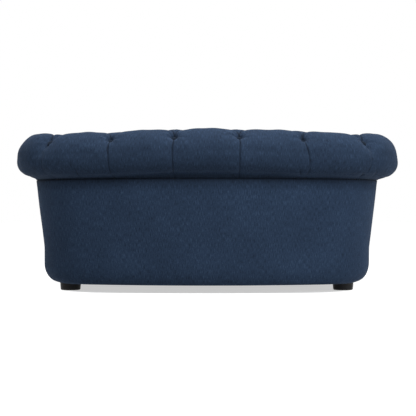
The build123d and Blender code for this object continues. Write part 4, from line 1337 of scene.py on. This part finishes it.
def repeated(name, points, template, material, facing=None, along=None, pitch=None, uneven=0.0, size=1.0):
    """A piece of copies of the template, on points with their directions or along an open path."""
    mesh = bpy.data.meshes.new(name)
    edges = [] if pitch is None else [(i, i + 1) for i in range(len(points) - 1)]
    mesh.from_pydata(np.asarray(points).tolist(), edges, [])
    for label, vectors in (("facing", facing), ("along", along)):
        if vectors is not None:
            attribute = mesh.attributes.new(label, "FLOAT_VECTOR", "POINT")
            attribute.data.foreach_set("vector", np.asarray(vectors, np.float32).reshape(-1))
    made = bpy.data.objects.new(name, mesh)
    bpy.context.scene.collection.objects.link(made)
    tree, sockets = repeat_tree(f"{name}_repeat", template, material, pitch)
    modifier = made.modifiers.new("Repeat", "NODES")
    modifier.node_group = tree
    for socket, value in zip(sockets, (size, pitch or 0.01, uneven)):
        modifier[socket] = value
    plain_mesh(made)
    bpy.data.objects.remove(template)
    made.data.polygons.foreach_set("use_smooth", [True] * len(made.data.polygons))
    return made


def small_shape(name, points, around, material):
    """A small closed shape to be copied, from rings of points."""
    made = new_object(name, points, swept_faces(len(points) // around, around), material)
    box_mapped(made)
    return made


def lathe_template(name, profile, sides, material):
    """A small turned shape about Z, from a profile of radius and height, closed at both ends."""
    turn = np.linspace(0, 2 * math.pi, sides, endpoint=False)
    points = [(r * math.cos(a), r * math.sin(a), z) for r, z in profile for a in turn]
    return small_shape(name, points, sides, material)


def rod_template(name, length, width, depth, material):
    """A small stitch or tooth: a rod along X with rounded ends."""
    shares = np.linspace(-1, 1, 7)
    swell = np.sqrt(np.maximum(1 - (shares * 0.97) ** 4, 0.02))
    turn = np.linspace(0, 2 * math.pi, 8, endpoint=False)
    points = [
        (share * length / 2, wide * width / 2 * math.cos(a), wide * depth / 2 * math.sin(a))
        for share, wide in zip(shares, swell)
        for a in turn
    ]
    return small_shape(name, points, 8, material)


def button_template(name, shade):
    """A cloth-covered button: domed, pleated and drawn under at its rim, and painted with the shade of its
    pit.
    """
    profile = [(0.0005, -0.0004), (0.0060, -0.0004), (0.0073, 0.0003), (0.0075, 0.0012), (0.0072, 0.0022)]
    profile += [(0.0064, 0.0032), (0.0050, 0.0041), (0.0030, 0.0047), (0.0004, 0.0049)]
    made = lathe_template(name, profile, 36, materials["cloth"])
    places = vertex_places(made)
    reach = np.hypot(places[:, 0], places[:, 1])
    turn = np.arctan2(places[:, 1], places[:, 0])
    pleat = 1 + 0.014 * np.cos(9 * turn) * np.maximum(0, reach / 0.0075 - 0.5)
    places[:, :2] *= pleat[:, None]
    set_places(made, places)
    # Painted shade of the button, the same all over
    shaded(made, np.full(len(places), shade))
    return made


def button_seats(stations, mark, sink):
    """Seats of a row of buttons: their places, the way that they face, and the way along the wall."""
    length = section_marks(roll_section(0, 0, TUCK_ARM, 0))[mark]
    seats, facing, along = [], [], []
    for station in np.array(stations):
        near = section_grid(station[None], length + np.array([-0.001, 0, 0.001]), TUCK_ARM, 0)[:, 0]
        proud = square_to(unit(near[2] - near[0]))
        spot = near[1] - sink * proud
        _, _, across, back = wall_at(station)
        seats.append(on_wall(station, spot[0], spot[1]))
        facing.append((across * proud[0], back * proud[0], proud[1]))
        along.append((back, -across, 0))
    return seats, facing, along


class SOFA_OT_buttons(bpy.types.Operator):
    """Cloth-covered buttons in the pits of the tufting"""

    bl_idname = "sofa.buttons"
    bl_label = "Buttons"

    def execute(self, context):
        sink = context.scene.sofa_tufting.sink
        # The last number of each row is the shade painted on its buttons; the outer row is painted darkest
        rows = {
            "outer_roll_buttons": (PLEATS[1:-1], 1, sink + 0.004, 0.85),
            "inner_roll_buttons": (MIDDLES, 3, sink - 0.0025, 0.2),
            "wall_buttons": (PLEATS[1:-1], 4, sink - 0.0025, 0.2),
        }
        for node, (stations, mark, depth, shade) in rows.items():
            seats, facing, along = button_seats(stations, mark, depth)
            template = button_template(f"{node}_template", shade)
            name = node.replace("buttons", "button_set")
            made = repeated(name, seats, template, materials["cloth"], facing, along, uneven=0.03)
            settle(made, "navy_fabric", node)
        return {"FINISHED"}


# Seat cushion
def cushion_ring(inset, count):
    """Ring of plan places round the cushion, evenly spaced, starting at the left of the front."""
    corner = CUSHION_CORNER - inset
    front = CUSHION_FRONT + inset
    side_run = SIDE_STATION + CORNER_Y - front - corner
    wall = on_wall(np.linspace(-side_run, side_run, 600), CUSHION_OUT - inset, 0)[:, :2]
    x = HALF_WIDTH + CUSHION_OUT - inset - corner
    right = arc_points((x, front + corner), corner, 0, -90, 30)[1:]
    left = arc_points((-x, front + corner), corner, 270, 180, 30)[:-1]
    ring = np.concatenate([wall, right, left, wall[:1]])
    return resampled(ring, np.linspace(0, lengths(ring)[-1], count + 1))[:-1]


def cushion_layers(crown, inset=0.0):
    """Height, inset and plan share of each ring, from the middle of the underside up to that of the top."""
    low, seam = CUSHION_LOW + inset, CUSHION_SEAM - inset
    for share in (0.02, 0.15, 0.3, 0.45, 0.6, 0.75, 0.9, 0.97, 1.0):
        yield low, 0.004, share
    for share in (0.5, 1.0):
        yield low + (CUSHION_HEM - low) * share, 0.004 * (1 - share) ** 2, 1.0
    rows = 12
    for row in range(1, rows):
        share = row / rows
        waist = CUSHION_WAIST * math.sin(math.pi * share) ** 0.7
        yield CUSHION_HEM + (seam - CUSHION_HEM) * share, waist, 1.0
    for share in (1.0, 0.985, 0.965, 0.94, 0.9, 0.84, 0.76, 0.66, 0.55, 0.43, 0.3, 0.16, 0.02):
        yield seam + crown * (1 - share**8), 0.0, share


def cushion_body(name, crown, inset, count, material):
    """A closed cushion of rings, crowned on top and drawn in by an inset."""
    middle = np.array([0, (CUSHION_FRONT + BACK_Y + CUSHION_OUT) / 2])
    rings = []
    for height, draw, share in cushion_layers(crown, inset):
        plan = middle + (cushion_ring(draw + inset, count) - middle) * share
        rings.append(np.concatenate([plan, np.full((count, 1), height)], 1))
    return new_object(name, np.concatenate(rings), swept_faces(len(rings), count, flip=True), material)


def zip_share(places):
    """One in the middle of the zip's band on the rear of the cushion, fading to nought beside it."""
    turn = np.degrees(np.arctan2(places[:, 0], places[:, 1] - BOW_CENTRE_Y))
    reach = np.hypot(places[:, 0], places[:, 1] - BOW_CENTRE_Y)
    ends = rising(ZIP_HALF_ANGLE + 0.6 - np.abs(turn), 0.6)
    band = rising(0.013 - np.abs(places[:, 2] - ZIP_HEIGHT), 0.006)
    return ends * band * (reach > BOXING_RADIUS - 0.02)


def inflate(made, cushion):
    """Blows the cushion up as cloth held at its seams, and caps how far it swells."""
    start = vertex_places(made)
    depth = ring_gaps(cushion_ring(0, RING_POINTS), start[:, :2])[0]
    held = start[:, 2] < CUSHION_LOW + 0.004
    for height in (CUSHION_SEAM, CUSHION_HEM):
        held |= (np.abs(start[:, 2] - height) < cushion.voxel) & (depth < cushion.voxel)
    held |= zip_share(start) > 0.01
    group = made.vertex_groups.new(name="held")
    group.add([int(i) for i in np.flatnonzero(held)], 1.0, "REPLACE")
    modifier = made.modifiers.new("Cloth", "CLOTH")
    sheet = modifier.settings
    sheet.quality = 5
    sheet.mass = 0.3
    sheet.tension_stiffness = sheet.compression_stiffness = 12
    sheet.shear_stiffness = 6
    sheet.bending_stiffness = 1.5
    sheet.use_pressure = True
    sheet.uniform_pressure_force = cushion.pressure
    sheet.effector_weights.gravity = 0
    sheet.vertex_group_mass = "held"
    modifier.point_cache.frame_start, modifier.point_cache.frame_end = 1, cushion.frames
    for step in range(1, cushion.frames + 1):
        bpy.context.scene.frame_set(step)
    plain_mesh(made)
    bpy.context.scene.frame_set(1)
    swollen = vertex_places(made)
    moved = swollen - start
    far = np.linalg.norm(moved, axis=1)
    keep = np.minimum(1, cushion.cap / np.maximum(far, 1e-9))
    set_places(made, start + moved * keep[:, None])


class SOFA_OT_cushion(bpy.types.Operator):
    """Boxed seat cushion, blown up as cloth, with its foam and its two welts"""

    bl_idname = "sofa.cushion"
    bl_label = "Seat cushion"

    def execute(self, context):
        cushion = context.scene.sofa_cushion
        full = CUSHION_TOP - CUSHION_SEAM
        crown = full - SWELL_ROOM
        made = cushion_body("seat_cushion", crown, 0, 300, materials["cloth"])
        evened(made, cushion.voxel)
        inflate(made, cushion)
        finer = made.modifiers.new("Finer", "SUBSURF")
        finer.levels = finer.render_levels = 1
        plain_mesh(made)
        places = vertex_places(made)
        depth, nearest = ring_gaps(cushion_ring(0, RING_POINTS), places[:, :2])
        along = nearest / RING_POINTS * 2.0
        top = rising(places[:, 2] - CUSHION_SEAM + 0.004, 0.004)
        pull = top * bell(depth - 0.014, 0.014)
        places[:, 2] += 0.0009 * pull * ripples(along * 2.5, depth / 4, 0.045, 81)
        places[:, 2] += 0.0008 * top * rising(depth, 0.05) * ripples(places[:, 0], places[:, 1], 0.12, 83)
        away = np.stack([places[:, 0], places[:, 1] - BOW_CENTRE_Y], -1)
        reach = np.linalg.norm(away, axis=1)
        wanted = np.minimum(reach, BOXING_RADIUS - ZIP_SINK)
        places[:, :2] += away * ((wanted - reach) * rising(zip_share(places), 0.5) / reach)[:, None]
        set_places(made, places)
        box_mapped(made)
        settle(made, "navy_fabric", "cushion_cover", body="cushion")

        core = cushion_body("cushion_foam", full - CORE_DROP, CORE_INSET, 160, materials["foam"])
        box_mapped(core)
        settle(core, "foam", "cushion_core", body="cushion")

        for label, height in (("top", CUSHION_SEAM), ("bottom", CUSHION_HEM)):
            plan = cushion_ring(-CUSHION_WELT_OUT, 700)
            path = np.concatenate([plan, np.full((len(plan), 1), height)], 1)
            name = f"cushion_{label}_welt"
            welt = tube_piece(name, path, CUSHION_WELT_RADIUS, (0, 0, 1), materials["welt"])
            settle(welt, "navy_welt", f"cushion_welt_{label}", body="cushion")
        return {"FINISHED"}


# Zip
def bow_arc(radius, half_angle, height, count):
    """Points along the curved rear of the cushion, from left to right."""
    turn = np.radians(np.linspace(-half_angle, half_angle, count))
    x, y = radius * np.sin(turn), BOW_CENTRE_Y + radius * np.cos(turn)
    return np.stack([x, y, np.full(count, height)], -1)


def strip_piece(name, section, half_angle, count, material):
    """A strip along the zip, from a closed section of radius and height."""
    turn = np.radians(np.linspace(-half_angle, half_angle, count))[:, None]
    section = np.asarray(section)[None, :]
    x = section[:, :, 0] * np.sin(turn)
    y = BOW_CENTRE_Y + section[:, :, 0] * np.cos(turn)
    z = np.broadcast_to(section[:, :, 1], x.shape)
    return block_piece(name, np.stack([x, y, z], -1), material)


class SOFA_OT_zip(bpy.types.Operator):
    """Zip on the rear of the cushion: woven tape, coil, stitched lips, and the finishes of its metal"""

    bl_idname = "sofa.zip"
    bl_label = "Zip"

    def execute(self, context):
        tape_low = BOXING_RADIUS - 0.0017
        tape_high = tape_low + 0.001
        half = ZIP_HALF_ANGLE - 0.03
        rib = 0.0057
        section = [(tape_low, -rib), (tape_low, rib), (tape_high, rib), (tape_high + 0.0002, 0.003)]
        section += [(tape_high, 0.0), (tape_high + 0.0002, -0.003), (tape_high, -rib)]
        section = [(radius, ZIP_HEIGHT + height) for radius, height in section[::-1]]
        tape = strip_piece("zip_tape_cloth", section, half, 121, materials["welt"])
        settle(tape, "zip_nylon", "zip_tape", body="cushion")

        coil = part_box("zip_chain")
        tall = coil[1].z - coil[0].z
        tooth = rod_template("tooth_template", tall, 0.0012, 0.0021, materials["nylon"])
        tooth.data.transform(Matrix.Rotation(math.radians(90), 4, "Y"))
        path = bow_arc(tape_high + 0.0011, ZIP_HALF_ANGLE - 0.3, ZIP_HEIGHT, 240)
        teeth = repeated("zip_teeth", path, tooth, materials["nylon"], pitch=0.0015)
        settle(teeth, "zip_nylon", "zip_chain", body="cushion")

        turn = np.linspace(0, 2 * math.pi, 10, endpoint=False)
        for label, side in (("upper", 1), ("lower", -1)):
            round_lip = [0.0010 * np.cos(turn), side * LIP_HEIGHT + 0.0026 * np.sin(turn)]
            ring = np.stack(round_lip, -1) + (BOXING_RADIUS - 0.0002, ZIP_HEIGHT)
            lip = strip_piece(f"zip_{label}_lip", ring, half, 161, materials["cloth"])
            settle(lip, "navy_fabric", body="cushion")
            stitch = rod_template("stitch_template", 0.0026, 0.0006, 0.0005, materials["thread"])
            line = bow_arc(BOXING_RADIUS + 0.0009, half - 0.2, ZIP_HEIGHT + side * STITCH_HEIGHT, 240)
            name = f"zip_{label}_stitches"
            stitches = repeated(name, line, stitch, materials["thread"], pitch=0.0034, uneven=0.08)
            settle(stitches, "navy_welt", body="cushion")
        for node in ("zip_stops", "zip_slider", "zip_pull"):
            finish_node(node, "zip_metal")
        return {"FINISHED"}


# Timber, feet and screws keep their own solids, but for the outer board
def finish_node(node, material):
    """Gives a carried-over node its material."""
    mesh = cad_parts[node].data
    mesh.materials.clear()
    mesh.materials.append(materials[material])


class SOFA_OT_timber(bpy.types.Operator):
    """Finishes of the boards, rails, ribs and blocks inside"""

    bl_idname = "sofa.timber"
    bl_label = "Timber"

    def execute(self, context):
        finishes = {
            "plywood": [
                "base_board", "seat_deck", "top_rail", "wall_ribs", "right_arm_board", "left_arm_board",
            ],
            "hardboard": ["outer_board", "inner_board"],
            "softwood": [
                "back_deck_rail", "right_deck_rail", "left_deck_rail", "front_rail", "centre_bearer",
                "corner_blocks",
            ],
        }
        for finish, nodes in finishes.items():
            for node in nodes:
                finish_node(node, finish)

        # The outer board's bottom edge is raised, clear of the outside cloth's rounder edge
        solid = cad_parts["outer_board"]
        sheet = solid.data.copy()
        sheet.transform(solid.matrix_world)
        for vertex in sheet.vertices:
            vertex.co.z = max(vertex.co.z, BOARD_LOW)
        board = bpy.data.objects.new("outer_board_sheet", sheet)
        context.scene.collection.objects.link(board)
        plain_mesh(board, merge=True)
        settle(board, "hardboard", "outer_board")
        return {"FINISHED"}


class SOFA_OT_feet(bpy.types.Operator):
    """Finishes of the moulded feet and their screws"""

    bl_idname = "sofa.feet"
    bl_label = "Feet"

    def execute(self, context):
        for place in ("back_right", "back_left", "front_right", "front_left"):
            finish_node(f"foot_{place}", "plastic")
        finish_node("foot_screws", "screw")
        return {"FINISHED"}


class SOFA_OT_materials(bpy.types.Operator):
    """Cloths, foam, timber, plastic and metal of the sofa"""

    bl_idname = "sofa.materials"
    bl_label = "Materials"

    def execute(self, context):
        cloth = context.scene.sofa_cloth
        materials.update(
            cloth=cloth_material("navy_heather_weave", cloth),
            # The roll's cloth is the same weave painted three quarters as dark, as painted shade
            roll_cloth=cloth_material("navy_roll_weave", cloth, tone=0.75),
            welt=cloth_material("navy_bias_welt", cloth, turned=45, slub_share=0.6),
            lining=lining_material("black_spunbond", (0.020, 0.020, 0.022), 0.0016),
            foam=foam_material("open_cell_foam"),
            plywood=timber_material(
                "raw_plywood", (0.62, 0.46, 0.28), (0.40, 0.27, 0.14), 0.05, layered=0.003
            ),
            hardboard=hardboard_material("smooth_hardboard"),
            softwood=timber_material("planed_softwood", (0.70, 0.52, 0.31), (0.48, 0.30, 0.14), 0.025),
            plastic=plastic_material("black_moulded_plastic"),
            screw=steel_material("zinc_plate", (0.55, 0.55, 0.52), (0.72, 0.72, 0.70)),
            zip_metal=steel_material("dark_lacquered_metal", (0.05, 0.05, 0.055), (0.12, 0.12, 0.125)),
            nylon=nylon_material("zip_nylon"),
            thread=nylon_material("navy_thread"),
        )
        return {"FINISHED"}


# Studio
def lamp(name, aim, away, size, power):
    """A round white lamp, set away from its aim."""
    data = bpy.data.lights.new(name, "AREA")
    data.shape = "DISK"
    data.size = size
    data.energy = power
    made = bpy.data.objects.new(name, data)
    bpy.context.scene.collection.objects.link(made)
    made.location = Vector(aim) + Vector(away)
    made.rotation_euler = (-Vector(away)).to_track_quat("-Z", "Y").to_euler()


def seen_share(nodes):
    """One for what the camera, a mirror or glass sees, and nought for light on the object."""
    path = nodes.node("ShaderNodeLightPath").outputs
    seen = nodes.math("MAXIMUM", path["Is Camera Ray"], path["Is Glossy Ray"])
    return nodes.math("MAXIMUM", seen, path["Is Transmission Ray"])


def floor_material(shade, bounce):
    """White floor, painted pale grey only right under the sofa as a painted shadow that the real shadow
    deepens, with a glow that paints soft bounce light on the sofa.
    """
    made = bpy.data.materials.new("studio_floor")
    made.use_nodes = True
    made.node_tree.nodes.clear()
    nodes = Nodes(made.node_tree)
    shift = (0, SHADE_SHIFT / SHADE_HALF_DEPTH, 0)
    centred = nodes.object_place(SHADE_HALF_WIDTH, SHADE_HALF_DEPTH, 1, shift)
    parts = nodes.apart(centred)
    powers = [nodes.math("POWER", nodes.math("ABSOLUTE", parts[axis]), 4.0) for axis in ("X", "Y")]
    inputs = {"Value": nodes.math("ADD", *powers), "From Min": SHADE_FADE[0], "From Max": SHADE_FADE[1]}
    # Painted shadow: the floor's glow falls from white to the floor shade inside the patch under the sofa
    fade = nodes.output("ShaderNodeMapRange", {**inputs, "To Min": shade, "To Max": 1.0})
    glow = nodes.output("ShaderNodeEmission", {"Strength": fade})
    # Painted bounce light: a glow that lights the sofa but is not seen by the camera
    rise = nodes.output("ShaderNodeEmission", {"Strength": bounce})
    white = nodes.output("ShaderNodeBsdfDiffuse", {"Color": (0.62, 0.62, 0.62)})
    grey = nodes.output("ShaderNodeBsdfDiffuse", {"Color": (0.12, 0.12, 0.12)})
    unseen = nodes.output("ShaderNodeAddShader", {0: grey, 1: rise})
    seen = nodes.output("ShaderNodeAddShader", {0: glow, 1: white})
    pick = nodes.output("ShaderNodeMixShader", {0: seen_share(nodes), 1: unseen, 2: seen})
    nodes.link(pick, nodes.node("ShaderNodeOutputMaterial").inputs["Surface"])
    return made


class SOFA_OT_stage(bpy.types.Operator):
    """White studio floor, soft lamps and the camera behind the sofa"""

    bl_idname = "sofa.stage"
    bl_label = "Studio"

    def execute(self, context):
        scene = context.scene
        stage = scene.sofa_stage
        scene.view_settings.view_transform = "Standard"
        corners = ((-1, -1), (1, -1), (1, 1), (-1, 1))
        plan = [(FLOOR_REACH * x, FLOOR_REACH * y, -0.0002) for x, y in corners]
        floor = new_object("floor", plan, [(0, 1, 2, 3)], floor_material(stage.shade, stage.bounce))

        world = bpy.data.worlds.new("studio")
        world.use_nodes = True
        scene.world = world
        nodes = Nodes(world.node_tree)
        background = world.node_tree.nodes["Background"]
        nodes.feed(background.inputs["Color"], (1, 1, 1))
        lit = nodes.math("MULTIPLY_ADD", seen_share(nodes), 1 - stage.world, stage.world)
        nodes.link(lit, background.inputs["Strength"])

        aim = (0, BACK_Y, 0.2)
        lamps = {
            "key_lamp": ((-2.76, 1.59, 0.28), 1.4, stage.key),
            "top_lamp": ((-0.06, 0.16, 1.99), 0.8, stage.top),
            "right_lamp": ((-0.53, 0.92, 0.75), 0.4, stage.right),
            "left_lamp": ((0.60, 0.50, 0.45), 0.35, stage.left),
        }
        for name, settings in lamps.items():
            lamp(name, aim, *settings)

        camera = bpy.data.objects.new("camera", bpy.data.cameras.new("camera"))
        scene.collection.objects.link(camera)
        camera.location = (0, BACK_Y + stage.distance, stage.height)
        camera.rotation_euler = (math.radians(90), 0, math.radians(180))
        camera.data.lens = stage.lens
        camera.data.sensor_width = 36
        camera.data.shift_x = SHIFT_ACROSS
        camera.data.shift_y = SHIFT_UP
        camera.data.clip_start = 0.05
        scene.camera = camera
        return {"FINISHED"}


class SOFA_PT_panel(bpy.types.Panel):
    """Lists the sofa's pieces"""

    bl_label = "Sofa"
    bl_idname = "SOFA_PT_panel"
    bl_space_type = "VIEW_3D"
    bl_region_type = "UI"
    bl_category = "Sofa"

    def draw(self, context):
        for made in operators:
            self.layout.operator(made.bl_idname)
        for group in groups:
            box = self.layout.box()
            settings = getattr(context.scene, group)
            for name in settings.__annotations__:
                box.prop(settings, name)


groups = {
    "sofa_cloth": SofaCloth,
    "sofa_tufting": SofaTufting,
    "sofa_cushion": SofaCushion,
    "sofa_stage": SofaStage,
}
operators = [
    SOFA_OT_materials, SOFA_OT_stage, SOFA_OT_tufting, SOFA_OT_outside, SOFA_OT_wadding, SOFA_OT_linings,
    SOFA_OT_arm_fronts, SOFA_OT_front_rail, SOFA_OT_buttons, SOFA_OT_cushion, SOFA_OT_zip, SOFA_OT_timber,
    SOFA_OT_feet,
]


def register():
    for made in [*groups.values(), *operators, SOFA_PT_panel]:
        bpy.utils.register_class(made)
    for name, made in groups.items():
        setattr(bpy.types.Scene, name, bpy.props.PointerProperty(type=made))


def unregister():
    for name in groups:
        delattr(bpy.types.Scene, name)
    for made in [SOFA_PT_panel, *operators, *groups.values()]:
        bpy.utils.unregister_class(made)


def main():
    """Builds every piece in order."""
    register()
    for made in operators:
        getattr(bpy.ops.sofa, made.bl_idname.split(".")[1])()
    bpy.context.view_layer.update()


if __name__ == "__main__":
    main()
